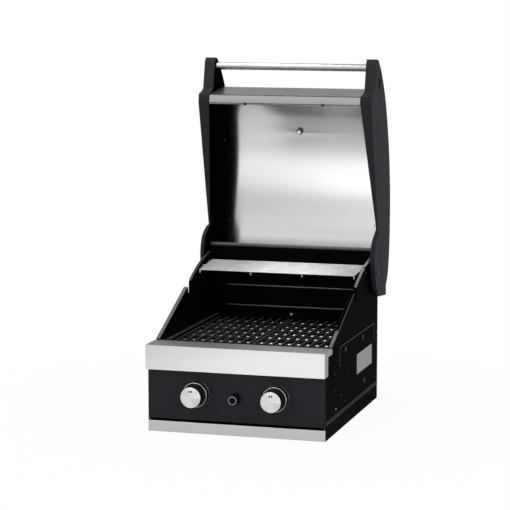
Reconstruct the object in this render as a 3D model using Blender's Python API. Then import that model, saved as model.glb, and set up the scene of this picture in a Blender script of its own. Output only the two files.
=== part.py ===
"""Built in gas grill with two burners, two cooking grates and a hinged lid that stands open.

Metres, +Z up. The origin is the middle of the base plate's underside, X runs to the right seen from the
front, and Y runs to the back. A depth is a distance behind the control panel's face, a height is a distance
above the base. The lid is drawn closed and level in its own frame: ahead of its pivot, and above it.
"""
import math

import bmesh
import bpy
from mathutils import Vector

# Sheet metal and fits
SHEET = 0.0012
GAP = 0.0003
OVERRUN = 0.004
SMOOTH_ANGLE = math.radians(40)

# Body shell
BODY_WIDTH = 0.430
BODY_DEPTH = 0.525
SIDE_FRONT_HEIGHT = 0.206
SLOPE_START_DEPTH = 0.060
SLOPE_START_STEP = 0.004
SLOPE_END_SHARE = 0.5219
SLOPE_END_RISE = 0.020
SHELF_STEP = 0.004
SHELF_HEIGHT = 0.283
REAR_ROUND_LENGTH = 0.073
REAR_ROUND_DROP = 0.027
REAR_ROUND_STEPS = 5
FLANGE_WIDTH = 0.0083
FLANGE_SINK = 0.0002
FLANGE_INSET = 0.001
SIDE_SLOT_WIDTH = 0.0030
SIDE_SLOT_HEIGHT = 0.012
SIDE_SLOT_SHARES = ((0.364, 0.650), (0.686, 0.647), (0.718, 0.254))
SIDE_SCREW_RADIUS = 0.0018
SIDE_SCREW_SHARES = ((0.211, 0.606), (0.167, 0.502), (0.161, 0.369), (0.292, 0.290), (0.347, 0.217))
REAR_PANEL_SINK = 0.003
REAR_PANEL_TURN_SHARES = (0.58, 0.36)
BASE_MARGIN = 0.002
BASE_SLOT_SHARES = (0.33, 0.84)
BASE_SLOT_WIDTH = 0.008
BASE_SLOT_COUNT = 5
BASE_SLOT_PITCH = 0.028
VENT_SHARES = (0.19, 0.75)
VENT_HEIGHT = 0.006
VENT_PITCH = 0.018
VENT_COUNT = 4
VENT_BASE = 0.110

# Front bezel, control panel and the strip below
BEZEL_REACH = 0.014
BEZEL_TOP = 0.208
BEZEL_BOTTOM = 0.150
BEZEL_BACK = 0.057
BEZEL_REAR_LIP = 0.012
BEZEL_END_BACK = 0.019
BEZEL_END_STRIP = 0.013
BEZEL_LIP_END = 0.0005
PANEL_BOTTOM = 0.0325
PANEL_TOP = 0.204
TRAY_FRONT_BOTTOM = 0.001
TRAY_FRONT_TOP = 0.026

# Firebox
FIREBOX_FRONT = 0.062
FIREBOX_SETBACK = 0.037
FIREBOX_TOP = 0.208
FRONT_FLANGE = 0.006
FIREBOX_SIDE_SPACE = 0.0215
LEDGE_HEIGHT = 0.202
LEDGE_WIDTH = 0.0105
FIREBOX_BOTTOM = 0.0585
GREASE_SLOT_WIDTH = 0.044
GREASE_SLOT_SHARES = (0.400, 0.648)
INNER_SIDE_BOTTOM = 0.080
REAR_BAR_RADIUS = 0.0047
REAR_BAR_RISE = 0.0537
RAIL_DEPTH = 0.010
RAIL_TOP = 0.1857
RAIL_BOTTOM = 0.126

# Hinge cheeks, pivot and stays for the warming rack
PIVOT_SETBACK = 0.061
PIVOT_RISE = 0.046
CHEEK_DROP = 0.078
CHEEK_REACH = 0.1605
CHEEK_RISE = 0.037
CHEEK_BEHIND = 0.022
CHEEK_EDGE_SHARES = ((1.0, -0.62), (0.984, -0.38), (0.928, -0.23), (0.841, -0.05), (0.636, 0.32),
                     (0.411, 0.65), (0.150, 0.89), (0.012, 1.0), (-0.062, 0.92), (-0.137, 0.43))
PIN_RADIUS = 0.005
PIN_HEAD_RADIUS = 0.007
PIN_HEAD_LENGTH = 0.004
PIN_TAIL_RADIUS = 0.008
PIN_TAIL_LENGTH = 0.004

# Warming rack
RACK_AHEAD = 0.118
RACK_LENGTH = 0.1055
RACK_RAISE = 0.007
RACK_SLOPE_RISE = 0.010
RACK_WIRE = 0.004
RACK_ROWS = 10
RACK_CARRIERS = (4, 8)
RACK_SIDE_SPACE = 0.016
RACK_CROSS_WIRES = 4
RACK_FIT = 0.0005

# Cooking grates
GRATE_TOP = 0.198
GRATE_THICKNESS = 0.012
GRATE_RIB_SINK = 0.0065
GRATE_MARGIN = 0.006
GRATE_SEAM = 0.001
GRATE_BARS = 9
GRATE_BAR_WIDTH = 0.009
GRATE_SIDE_CLEARANCE = 0.0008
GRATE_RIB_WIDTH = 0.016
GRATE_RIB_SHARES = (0.0, 0.258, 0.443, 0.577, 0.730, 0.838, 1.0)

# Flame tamers
TAMER_SIDE_SPACE = 0.0205
TAMER_RISE = 0.027
TAMER_SHEET = 0.0015
TAMER_MARGIN = 0.0015

# Gas train; both burners lie behind their knobs
KNOB_SPACING_SHARE = 0.4488
KNOB_HEIGHT = 0.0945
KNOB_BEZEL_RADIUS = 0.0325
KNOB_BEZEL_THICKNESS = 0.0057
KNOB_SKIRT_RADIUS = 0.029
KNOB_SKIRT_THICKNESS = 0.004
KNOB_LIFT = 0.0095
KNOB_BASE_RADIUS = 0.0265
KNOB_TIP_RADIUS = 0.0248
KNOB_REACH = 0.045
KNOB_FACE_RADIUS = 0.0242
KNOB_FACE_THICKNESS = 0.0027
KNOB_MARK_WIDTH = 0.002
KNOB_MARK_LENGTH = 0.008
KNOB_MARK_DEPTH = 0.0008
STEM_RADIUS = 0.004
STEM_FRONT = 0.030
STEM_BACK = 0.019
KNOB_PUSH = 0.003
COLLAR_RADIUS = 0.009
COLLAR_START = 0.006
COLLAR_LENGTH = 0.004
VALVE_START = 0.015
VALVE_LENGTH = 0.030
VALVE_WIDTH = 0.024
VALVE_TOP = 0.107
NOZZLE_RADIUS = 0.004
NOZZLE_END = 0.060
PIPE_RADIUS = 0.008
PIPE_DEPTH = 0.030
PIPE_HEIGHT = 0.068
PIPE_OVERHANG = 0.0285
PIPE_SIDE_SPACE = 0.0115
PIPE_BEND = 0.020
PIPE_TAIL = 0.015
PIPE_HOLE_FIT = 0.0006
BURNER_START = 0.052
BURNER_MOUTH_RADIUS = 0.012
BURNER_RADIUS = 0.019
BURNER_WALL = 0.0015
BURNER_NECK_END = 0.080
BURNER_TUBE_START = 0.095
BURNER_REAR_SPACE = 0.020
BURNER_TAIL_RADIUS = 0.005
BURNER_TAIL_TAPER = 0.004
ELECTRODE_OFFSET = 0.030
ELECTRODE_HEIGHT = 0.112
ELECTRODE_RADIUS = 0.0035
ELECTRODE_TIP_RADIUS = 0.001
ELECTRODE_START = 0.050
ELECTRODE_TIP_START = 0.110
ELECTRODE_END = 0.125

# Ignition button
IGNITER_HEIGHT = 0.090
IGNITER_RADIUS = 0.010
IGNITER_BORE = 0.0076
IGNITER_BUTTON_RADIUS = 0.0073
IGNITER_FRONT = 0.028
IGNITER_BACK = 0.050
IGNITER_BORE_SPARE = 0.007
IGNITER_FLANGE_RADIUS = 0.013
IGNITER_FLANGE = 0.0037
IGNITER_NUT = 0.0045
IGNITER_BUTTON_FRONT = 0.030
IGNITER_PUSH = 0.005

# Drip tray
TRAY_SIDE_SPACE = 0.025
TRAY_REAR_SPACE = 0.045
TRAY_BOTTOM = 0.004
TRAY_TOP = 0.024
TRAY_FLANGE_WIDTH = 0.010
TRAY_FLANGE_HEIGHT = 0.022
RUNNER_STEP = 0.003
RUNNER_RISE = 0.012
RUNNER_FRONT = 0.003
RUNNER_REAR_SPACE = 0.025

# Lid, in its own frame
LID_OPEN_TURN = math.radians(-75.5)
LID_REACH = 0.438
LID_CROWN = 0.217
LID_SHEET = 0.001
RIM_SHARE = 0.249
CAP_OUTER = 0.0065
CAP_THIN = 0.0053
CAP_THICK = 0.0269
CAP_TAPER_START = 0.107
CAP_TAPER_END = 0.405
CAP_WALL = 0.0035
CROWN_SHARES = ((1.128, 0.737), (1.034, 0.848), (0.856, 0.959), (0.594, 1.0), (0.381, 0.968),
                (0.217, 0.903), (0.025, 0.783), (-0.126, 0.636), (-0.178, 0.502))
CORNER_SHARES = ((-0.237, 0.479), (-0.174, 0.124))
LOBE_SHARES = ((-0.091, -0.060), (0.023, -0.120), (0.116, -0.078), (0.183, 0.018))
FRONT_SHARES = ((0.215, RIM_SHARE), (0.957, RIM_SHARE), (1.0, 0.290), (1.0, 0.387), (1.007, 0.461),
                (1.142, 0.599), (1.162, 0.650), (1.148, 0.710))
PAD_SHARES = ((0.205, 0.249), (0.142, 0.355), (0.071, 0.424), (-0.014, 0.401), (-0.084, 0.332),
              (-0.126, 0.194), (-0.142, 0.074), (-0.091, -0.041), (0.018, -0.101), (0.112, -0.065),
              (0.174, 0.028), (0.196, 0.138), (0.205, 0.249))
PAD_RISE = 0.005
POCKET_SHARES = ((0.285, 0.304), (0.909, 0.304), (0.909, 0.839), (0.856, 0.876), (0.594, 0.917),
                 (0.381, 0.885), (0.285, 0.853))
SIDE_PLATE_SHARES = ((0.274, 0.281), (0.920, 0.281), (0.920, 0.850), (0.856, 0.890), (0.594, 0.932),
                     (0.381, 0.900), (0.274, 0.860))
SKIN_SHARES = ((0.998, 0.295), (0.961, 0.811), (0.856, 0.908), (0.594, 0.954), (0.381, 0.922),
               (0.217, 0.857), (0.025, 0.737), (-0.103, 0.604), (-0.151, 0.438), (-0.146, 0.240))
LINER_SHARES = ((0.951, 0.256), (0.910, 0.691), (0.849, 0.811), (0.594, 0.862), (0.381, 0.834),
                (0.217, 0.770), (0.025, 0.654), (-0.080, 0.544), (-0.119, 0.392), (-0.123, 0.267))
TRIM_SHARES = ((0.995, 0.2845), (0.957, RIM_SHARE), (0.948, RIM_SHARE))
CURVE_STEPS = 3
EAR_RECESS_SHARES = (1.016, 0.696)
EAR_RECESS_WIDTH = 0.030
EAR_RECESS_HEIGHT = 0.014
EAR_RECESS_DEPTH = 0.002
HANDLE_SHARES = (1.110, 0.659)
HANDLE_RADIUS = 0.009
HANDLE_BORE = 0.0075
THERMOMETER_SHARE = 0.6941
THERMOMETER_RADIUS = 0.028
THERMOMETER_RISE = 0.0095
THERMOMETER_FLOOR = 0.003
THERMOMETER_RIM = 0.002
THERMOMETER_STEM_RADIUS = 0.005
THERMOMETER_STEM_TIP = 0.004
NEEDLE_LENGTH = 0.038
NEEDLE_WIDTH = 0.003
NEEDLE_THICKNESS = 0.001
NUT_RADIUS = 0.008
NUT_HEIGHT = 0.006
HOLE_FIT = 0.0005
BUMPER_SPACING_SHARE = 0.4605
BUMPER_SHARE = 0.9525
BUMPER_RADIUS = 0.004
BUMPER_LENGTH = 0.0031

# Places that follow from the sizes above
HALF_WIDTH = BODY_WIDTH / 2
SLOPE_START_HEIGHT = SIDE_FRONT_HEIGHT + SLOPE_START_STEP
SLOPE_END_DEPTH = BODY_DEPTH * SLOPE_END_SHARE
SLOPE_END_HEIGHT = SHELF_HEIGHT + SLOPE_END_RISE
SHELF_START_DEPTH = SLOPE_END_DEPTH + SHELF_STEP
FIREBOX_BACK = BODY_DEPTH - FIREBOX_SETBACK
FIREBOX_HALF_WIDTH = HALF_WIDTH - FIREBOX_SIDE_SPACE
PIVOT_DEPTH = BODY_DEPTH - PIVOT_SETBACK
PIVOT_HEIGHT = SHELF_HEIGHT + PIVOT_RISE
REAR_BAR_HEIGHT = PIVOT_HEIGHT + REAR_BAR_RISE
RACK_FRONT = PIVOT_DEPTH - RACK_AHEAD
RACK_HEIGHT = PIVOT_HEIGHT + RACK_RAISE
RACK_HALF_WIDTH = HALF_WIDTH - RACK_SIDE_SPACE
KNOB_SPACING = BODY_WIDTH * KNOB_SPACING_SHARE
TAMER_WIDTH = 2 * (FIREBOX_HALF_WIDTH - KNOB_SPACING / 2 - TAMER_SIDE_SPACE)
PIPE_LEFT_END = KNOB_SPACING / 2 + PIPE_OVERHANG
PIPE_RUN_X = HALF_WIDTH - PIPE_SIDE_SPACE
BURNER_TUBE_END = FIREBOX_BACK - BURNER_REAR_SPACE
TRAY_HALF_WIDTH = HALF_WIDTH - TRAY_SIDE_SPACE
TRAY_BACK = BODY_DEPTH - TRAY_REAR_SPACE
BUMPER_SPACING = BODY_WIDTH * BUMPER_SPACING_SHARE
THERMOMETER_AHEAD = LID_REACH * THERMOMETER_SHARE
FRONT_Y = -BODY_DEPTH / 2
INSIDE_HALF = HALF_WIDTH - SHEET - GAP
SIDES = (("left", -1), ("right", 1))

for old in list(bpy.data.objects):
    bpy.data.objects.remove(old, do_unlink=True)


def finish(name, colour, roughness, metallic):
    """Make one plain Principled material."""
    made = bpy.data.materials.new(name)
    made.use_nodes = True
    shader = made.node_tree.nodes["Principled BSDF"]
    shader.inputs["Base Color"].default_value = (*colour, 1)
    shader.inputs["Roughness"].default_value = roughness
    shader.inputs["Metallic"].default_value = metallic
    return made


BLACK_ENAMEL = finish("black_enamel", (0.015, 0.015, 0.018), 0.22, 0.0)
BLACK_CASTING = finish("black_casting", (0.040, 0.040, 0.045), 0.55, 0.0)
CAST_IRON = finish("cast_iron", (0.020, 0.020, 0.022), 0.30, 0.0)
STAINLESS = finish("stainless", (0.700, 0.700, 0.690), 0.28, 1.0)
CHROME = finish("chrome", (0.850, 0.850, 0.860), 0.08, 1.0)
LINER_STEEL = finish("liner_steel", (0.780, 0.780, 0.770), 0.20, 1.0)
GALVANISED = finish("galvanised", (0.450, 0.460, 0.460), 0.45, 1.0)
BLACK_PLASTIC = finish("black_plastic", (0.020, 0.020, 0.020), 0.40, 0.0)
BRASS = finish("brass", (0.720, 0.540, 0.240), 0.30, 1.0)
CERAMIC = finish("ceramic", (0.850, 0.840, 0.800), 0.50, 0.0)
RUBBER = finish("rubber", (0.030, 0.030, 0.030), 0.80, 0.0)


def behind_front(depth):
    """Turn a depth behind the control panel's face into a Y coordinate."""
    return FRONT_Y + depth


def across_body(depth, height, x):
    """Place a point of an outline seen from the side."""
    return Vector((x, behind_front(depth), height))


def along_body(x, height, depth):
    """Place a point of an outline seen from the front."""
    return Vector((x, behind_front(depth), height))


def across_lid(ahead, above, x):
    """Place a point of a lid outline in the lid's frame."""
    return Vector((x, -ahead, above))


def lid_points(shares):
    """Scale a table of shares to the lid's reach and crown."""
    return [Vector((ahead * LID_REACH, above * LID_CROWN)) for ahead, above in shares]


def smooth(points, steps=CURVE_STEPS):
    """Run a smooth curve through the points, with some steps in each span."""
    curve = []
    for i in range(len(points) - 1):
        first = points[max(i - 1, 0)]
        start, end = points[i], points[i + 1]
        last = points[min(i + 2, len(points) - 1)]
        leave, arrive = (end - first) / 2, (last - start) / 2
        for step in range(steps):
            t = step / steps
            curve.append(start * (2 * t**3 - 3 * t**2 + 1) + leave * (t**3 - 2 * t**2 + t)
                         + end * (3 * t**2 - 2 * t**3) + arrive * (t**3 - t**2))
    return curve + [points[-1]]


def offset(path, distance):
    """Move an open path to its left by a distance, with mitred corners."""
    moved = []
    last = len(path) - 1
    for i, point in enumerate(path):
        before = (path[max(i, 1)] - path[max(i, 1) - 1]).normalized()
        after = (path[min(i + 1, last)] - path[min(i + 1, last) - 1]).normalized()
        side = Vector((-before.y, before.x))
        middle = (side + Vector((-after.y, after.x))).normalized()
        moved.append(point + middle * (distance / middle.dot(side)))
    return moved


def strip(path, thickness):
    """Outline a folded sheet that lies on the left of its path, or on its right if negative."""
    path = [Vector(point) for point in path]
    return path + offset(path, thickness)[::-1]


def prism(outline, low, high, place=across_body):
    """Close an outline between two planes."""
    mesh = bmesh.new()
    first = [mesh.verts.new(place(u, v, low)) for u, v in outline]
    second = [mesh.verts.new(place(u, v, high)) for u, v in outline]
    mesh.faces.new(first)
    mesh.faces.new(second)
    for i in range(len(outline)):
        mesh.faces.new((first[i - 1], first[i], second[i], second[i - 1]))
    return mesh


def lattice(xs, ys, zs, solid):
    """Join the solid cells of a grid of boxes into one closed mesh."""
    mesh = bmesh.new()
    corners = {}
    cells = {(i, j, k) for i in range(len(xs) - 1) for j in range(len(ys) - 1)
             for k in range(len(zs) - 1) if solid(i, j, k)}

    def corner(key):
        if key not in corners:
            corners[key] = mesh.verts.new((xs[key[0]], ys[key[1]], zs[key[2]]))
        return corners[key]

    for cell in sorted(cells):
        for axis in range(3):
            for side in (0, 1):
                neighbour = list(cell)
                neighbour[axis] += 2 * side - 1
                if tuple(neighbour) in cells:
                    continue
                key = list(cell)
                key[axis] += side
                across, along = (axis + 1) % 3, (axis + 2) % 3
                face = []
                for a, b in ((0, 0), (1, 0), (1, 1), (0, 1)):
                    spot = list(key)
                    spot[across] += a
                    spot[along] += b
                    face.append(corner(tuple(spot)))
                mesh.faces.new(face)
    return mesh


def slab(low, high):
    """Make a box from two opposite corners."""
    return lattice(*zip(low, high), lambda i, j, k: True)


def turned(profile, centre, axis="Y", sides=20, closed=False):
    """Turn a profile of (radius, along) points about an axis through a centre."""
    mesh = bmesh.new()
    rings = []
    for radius, along in profile:
        ring = []
        for step in range(sides if radius else 1):
            turn = math.tau * (step + 0.5) / sides
            a, b = radius * math.cos(turn), radius * math.sin(turn)
            spot = {"X": (along, a, b), "Y": (a, along, b), "Z": (a, b, along)}[axis]
            ring.append(mesh.verts.new(Vector(centre) + Vector(spot)))
        rings.append(ring)
    pairs = list(zip(rings, rings[1:]))
    if closed:
        pairs.append((rings[-1], rings[0]))
    for first, second in pairs:
        for step in range(sides):
            corners = []
            for ring, spot in ((first, step), (first, step + 1), (second, step + 1), (second, step)):
                corner = ring[spot % len(ring)]
                if corner not in corners:
                    corners.append(corner)
            if len(corners) > 2:
                mesh.faces.new(corners)
    return mesh


def rod(radius, start, end, centre, axis="Y", sides=16):
    """Make a plain cylinder."""
    return turned([(0, start), (radius, start), (radius, end), (0, end)], centre, axis, sides)


def together(meshes):
    """Hold several closed shapes in one mesh, for one cutter."""
    whole = bmesh.new()
    for mesh in meshes:
        data = bpy.data.meshes.new("loose")
        bmesh.ops.recalc_face_normals(mesh, faces=mesh.faces)
        mesh.to_mesh(data)
        mesh.free()
        whole.from_mesh(data)
        bpy.data.meshes.remove(data)
    return whole


def keep(name, mesh, look, parent=None, origin=(0, 0, 0)):
    """Turn a mesh into a named object with its origin where it moves."""
    bmesh.ops.recalc_face_normals(mesh, faces=mesh.faces)
    bmesh.ops.translate(mesh, vec=-Vector(origin), verts=mesh.verts)
    data = bpy.data.meshes.new(name)
    mesh.to_mesh(data)
    mesh.free()
    data.materials.append(look)
    data.shade_smooth()
    data.set_sharp_from_angle(angle=SMOOTH_ANGLE)
    piece = bpy.data.objects.new(name, data)
    bpy.context.scene.collection.objects.link(piece)
    piece.location = origin
    piece.parent = parent
    return piece


def combine(piece, mesh, operation):
    """Cut a shape from a piece, or weld it on."""
    tool = keep(piece.name + "_" + operation.lower(), mesh, BLACK_PLASTIC, piece.parent)
    tool.hide_render = True
    tool.display_type = "WIRE"
    modifier = piece.modifiers.new(operation.title(), "BOOLEAN")
    modifier.operation = operation
    modifier.solver = "EXACT"
    modifier.object = tool


def cut(piece, *meshes):
    """Cut closed shapes from a piece."""
    combine(piece, together(meshes), "DIFFERENCE")


def weld(piece, *meshes):
    """Weld closed shapes onto a piece."""
    combine(piece, together(meshes), "UNION")


def side_top():
    """Follow a side panel's top edge from the front to the rear."""
    edge = [(SHEET + GAP, SIDE_FRONT_HEIGHT), (SLOPE_START_DEPTH, SIDE_FRONT_HEIGHT),
            (SLOPE_START_DEPTH, SLOPE_START_HEIGHT), (SLOPE_END_DEPTH, SLOPE_END_HEIGHT),
            (SHELF_START_DEPTH, SHELF_HEIGHT)]
    for step in range(REAR_ROUND_STEPS + 1):
        edge.append(rear_round(step / REAR_ROUND_STEPS))
    return edge


def rear_round(share):
    """Give a point on the rounded top corner at the rear of a side panel."""
    turn = share * math.pi / 2
    return (BODY_DEPTH - REAR_ROUND_LENGTH * (1 - math.sin(turn)),
            SHELF_HEIGHT - REAR_ROUND_DROP * (1 - math.cos(turn)))


def slope_height(depth):
    """Give the height of the sloping top edge at a depth."""
    share = (depth - SLOPE_START_DEPTH) / (SLOPE_END_DEPTH - SLOPE_START_DEPTH)
    return SLOPE_START_HEIGHT + share * (SLOPE_END_HEIGHT - SLOPE_START_HEIGHT)


def pipe_notch():
    """Clear the gas pipe's way through a wall that stands across it."""
    room = PIPE_RADIUS + PIPE_HOLE_FIT
    return slab((PIPE_RUN_X - room, behind_front(0), PIPE_HEIGHT - room - OVERRUN),
                (PIPE_RUN_X + room + OVERRUN, behind_front(BODY_DEPTH), PIPE_HEIGHT + room))


def build_base():
    """Base plate with two fields of vent slots beside its solid middle."""
    reach = BASE_SLOT_COUNT * BASE_SLOT_PITCH
    starts = [BODY_DEPTH / 2 - reach / 2 + i * BASE_SLOT_PITCH for i in range(BASE_SLOT_COUNT)]
    ys = [BASE_MARGIN, *(y for start in starts for y in (start, start + BASE_SLOT_WIDTH)),
          BODY_DEPTH - BASE_MARGIN]
    inner, outer = (share * HALF_WIDTH for share in BASE_SLOT_SHARES)
    xs = (-INSIDE_HALF, -outer, -inner, inner, outer, INSIDE_HALF)
    ys = [behind_front(y) for y in ys]
    keep("base_plate", lattice(xs, ys, (0, SHEET), lambda i, j, k: not (i in (1, 3) and j % 2)), GALVANISED)


def build_sides():
    """Side panels with a turned-in top flange along the slope, and the inner sheets beside the firebox."""
    outline = [(SHEET + GAP, 0)] + side_top() + [(BODY_DEPTH, 0)]
    slope = [(depth, slope_height(depth) - FLANGE_SINK)
             for depth in (SLOPE_START_DEPTH + FLANGE_INSET, SLOPE_END_DEPTH - FLANGE_INSET)]
    inner_front = FIREBOX_FRONT + SHEET + GAP
    inner_back = FIREBOX_BACK - GAP
    flange_inner = HALF_WIDTH - FLANGE_WIDTH
    inner_outline = [(inner_front, INNER_SIDE_BOTTOM), (inner_front, slope_height(inner_front)),
                     (SLOPE_END_DEPTH, SLOPE_END_HEIGHT), (SHELF_START_DEPTH, SHELF_HEIGHT),
                     (inner_back, SHELF_HEIGHT), (inner_back, INNER_SIDE_BOTTOM)]
    for name, side in SIDES:
        panel = keep("side_panel_" + name, prism(outline, side * (HALF_WIDTH - SHEET), side * HALF_WIDTH),
                     BLACK_ENAMEL)
        weld(panel, prism(strip(slope, -SHEET), side * flange_inner, side * (HALF_WIDTH - SHEET / 2)))
        holes = []
        for back, up in SIDE_SLOT_SHARES:
            spot = behind_front(back * BODY_DEPTH)
            holes.append(slab((side * HALF_WIDTH - OVERRUN, spot - SIDE_SLOT_WIDTH / 2, up * SHELF_HEIGHT),
                              (side * HALF_WIDTH + OVERRUN, spot + SIDE_SLOT_WIDTH / 2,
                               up * SHELF_HEIGHT + SIDE_SLOT_HEIGHT)))
        for back, up in SIDE_SCREW_SHARES:
            holes.append(rod(SIDE_SCREW_RADIUS, -OVERRUN, OVERRUN,
                             (side * HALF_WIDTH, behind_front(back * BODY_DEPTH), up * SHELF_HEIGHT), "X", 8))
        cut(panel, *holes)
        keep("inner_side_" + name, prism(inner_outline, side * (flange_inner - GAP - SHEET),
                                         side * (flange_inner - GAP)), BLACK_ENAMEL)


def build_rear_panel():
    """Rear panel folded over the top corner, with vents and the gas pipe's hole."""
    path = [(BODY_DEPTH, BASE_MARGIN), (BODY_DEPTH, SHELF_HEIGHT - REAR_ROUND_DROP - REAR_PANEL_SINK)]
    for share in REAR_PANEL_TURN_SHARES:
        depth, height = rear_round(share)
        path.append((depth, height - REAR_PANEL_SINK))
    panel = keep("rear_panel", prism(strip(path, SHEET), -INSIDE_HALF, INSIDE_HALF), BLACK_ENAMEL)
    back = behind_front(BODY_DEPTH)
    holes = [rod(PIPE_RADIUS + PIPE_HOLE_FIT, -OVERRUN, OVERRUN, (PIPE_RUN_X, back, PIPE_HEIGHT))]
    for row in range(VENT_COUNT):
        height = VENT_BASE + row * VENT_PITCH
        for _, side in SIDES:
            low, high = sorted(side * share * HALF_WIDTH for share in VENT_SHARES)
            holes.append(slab((low, back - OVERRUN, height), (high, back + OVERRUN, height + VENT_HEIGHT)))
    cut(panel, *holes)


def build_front():
    """Stainless bezel that wraps the top edge, and the control panel under it."""
    outer = HALF_WIDTH + GAP + SHEET
    shell = [(BEZEL_BACK, BEZEL_TOP), (-BEZEL_REACH, BEZEL_TOP), (-BEZEL_REACH, BEZEL_BOTTOM),
             (-BEZEL_LIP_END, BEZEL_BOTTOM)]
    bezel = keep("front_bezel", prism(strip(shell, SHEET), -outer, outer), STAINLESS)
    lip = slab((-INSIDE_HALF, behind_front(BEZEL_BACK - SHEET), BEZEL_TOP - BEZEL_REAR_LIP),
               (INSIDE_HALF, behind_front(BEZEL_BACK), BEZEL_TOP - SHEET / 2))
    end = [(-BEZEL_REACH, BEZEL_BOTTOM), (-BEZEL_REACH, BEZEL_TOP), (BEZEL_BACK, BEZEL_TOP),
           (BEZEL_BACK, BEZEL_TOP - BEZEL_END_STRIP), (BEZEL_END_BACK, BEZEL_TOP - BEZEL_END_STRIP),
           (BEZEL_END_BACK, BEZEL_BOTTOM)]
    ends = [prism(end, side * (outer - SHEET), side * outer) for _, side in SIDES]
    weld(bezel, lip)
    for piece in ends:
        weld(bezel, piece)
    panel = keep("control_panel", slab((-HALF_WIDTH + GAP, behind_front(0), PANEL_BOTTOM),
                                       (HALF_WIDTH - GAP, behind_front(SHEET), PANEL_TOP)), BLACK_ENAMEL)
    front = behind_front(0)
    holes = [rod(STEM_RADIUS + GAP, -OVERRUN, OVERRUN, (side * KNOB_SPACING / 2, front, KNOB_HEIGHT))
             for _, side in SIDES]
    holes.append(rod(IGNITER_RADIUS + GAP, -OVERRUN, OVERRUN, (0, front, IGNITER_HEIGHT), sides=24))
    cut(panel, *holes)


def build_firebox():
    """Walls, floor and rails of the firebox."""
    front, back = FIREBOX_FRONT + SHEET + GAP, FIREBOX_BACK - GAP
    wall_path = [(FIREBOX_HALF_WIDTH + LEDGE_WIDTH, LEDGE_HEIGHT), (FIREBOX_HALF_WIDTH, LEDGE_HEIGHT),
                 (FIREBOX_HALF_WIDTH, FIREBOX_BOTTOM)]
    for name, side in SIDES:
        path = [(side * x, z) for x, z in wall_path]
        keep("firebox_side_" + name, prism(strip(path, -side * SHEET), front, back, along_body), BLACK_ENAMEL)

    cover = HALF_WIDTH - FLANGE_WIDTH - SHEET - 2 * GAP
    top_path = [(FIREBOX_FRONT + FRONT_FLANGE, FIREBOX_TOP), (FIREBOX_FRONT, FIREBOX_TOP),
                (FIREBOX_FRONT, FIREBOX_BOTTOM)]
    wall = keep("firebox_front_wall", prism(strip(top_path, SHEET), -cover, cover), BLACK_ENAMEL)
    holes = [pipe_notch()]
    for _, side in SIDES:
        spot = (side * KNOB_SPACING / 2, behind_front(FIREBOX_FRONT), KNOB_HEIGHT)
        holes.append(rod(BURNER_MOUTH_RADIUS + GAP, -OVERRUN, OVERRUN, spot, sides=24))
        spot = (side * (KNOB_SPACING / 2 - ELECTRODE_OFFSET), behind_front(FIREBOX_FRONT), ELECTRODE_HEIGHT)
        holes.append(rod(ELECTRODE_RADIUS + GAP, -OVERRUN, OVERRUN, spot))
    cut(wall, *holes)

    wall = keep("firebox_rear_wall", slab((-INSIDE_HALF, behind_front(FIREBOX_BACK), FIREBOX_BOTTOM),
                                          (INSIDE_HALF, behind_front(FIREBOX_BACK + SHEET), REAR_BAR_HEIGHT)),
                BLACK_ENAMEL)
    weld(wall, rod(REAR_BAR_RADIUS, -INSIDE_HALF, INSIDE_HALF,
                   (0, behind_front(FIREBOX_BACK + SHEET / 2), REAR_BAR_HEIGHT), "X", 16))
    cut(wall, pipe_notch())

    half = FIREBOX_HALF_WIDTH - SHEET - GAP
    slot = GREASE_SLOT_WIDTH / 2
    slot_ends = [share * BODY_DEPTH for share in GREASE_SLOT_SHARES]
    keep("firebox_floor", lattice((-half, -slot, slot, half),
                                  [behind_front(y) for y in (front, *slot_ends, back)],
                                  (FIREBOX_BOTTOM, FIREBOX_BOTTOM + SHEET), lambda i, j, k: not i == j == 1),
         BLACK_ENAMEL)
    for name, start, reach in (("front", front, RAIL_DEPTH), ("rear", back, -RAIL_DEPTH)):
        path = [(start + reach, RAIL_TOP), (start, RAIL_TOP), (start, RAIL_BOTTOM),
                (start + reach, RAIL_BOTTOM)]
        rail = strip(path, math.copysign(SHEET, reach))
        keep("support_rail_" + name, prism(rail, -half, half), BLACK_ENAMEL)


def build_cheeks():
    """Hinge cheeks that carry the lid's pins, with open notches for the warming rack."""
    foot = SHELF_HEIGHT - CHEEK_DROP
    edge = [(PIVOT_DEPTH - ahead * CHEEK_REACH, PIVOT_HEIGHT + above * CHEEK_RISE)
            for ahead, above in CHEEK_EDGE_SHARES]
    outline = [(PIVOT_DEPTH - CHEEK_REACH, foot), *edge, (PIVOT_DEPTH + CHEEK_BEHIND, foot)]
    low, high = HALF_WIDTH - FLANGE_WIDTH, INSIDE_HALF
    for name, side in SIDES:
        cheek = keep("cheek_" + name, prism(outline, side * low, side * high), BLACK_ENAMEL)
        holes = [rod(PIN_RADIUS + GAP, -OVERRUN * 2, OVERRUN * 2,
                     (side * (low + high) / 2, behind_front(PIVOT_DEPTH), PIVOT_HEIGHT), "X", 20)]
        for row in RACK_CARRIERS:
            depth, height = rack_row(row)
            room = RACK_WIRE / 2 + RACK_FIT
            middle = side * (low + high) / 2
            holes.append(slab((middle - OVERRUN * 2, behind_front(depth - room), height - room),
                              (middle + OVERRUN * 2, behind_front(depth + room), REAR_BAR_HEIGHT + OVERRUN)))
        cut(cheek, *holes)


def rack_row(row):
    """Give the depth and height of one long wire of the warming rack."""
    share = row / (RACK_ROWS - 1)
    return RACK_FRONT + share * RACK_LENGTH, RACK_HEIGHT + share * RACK_SLOPE_RISE


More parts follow.
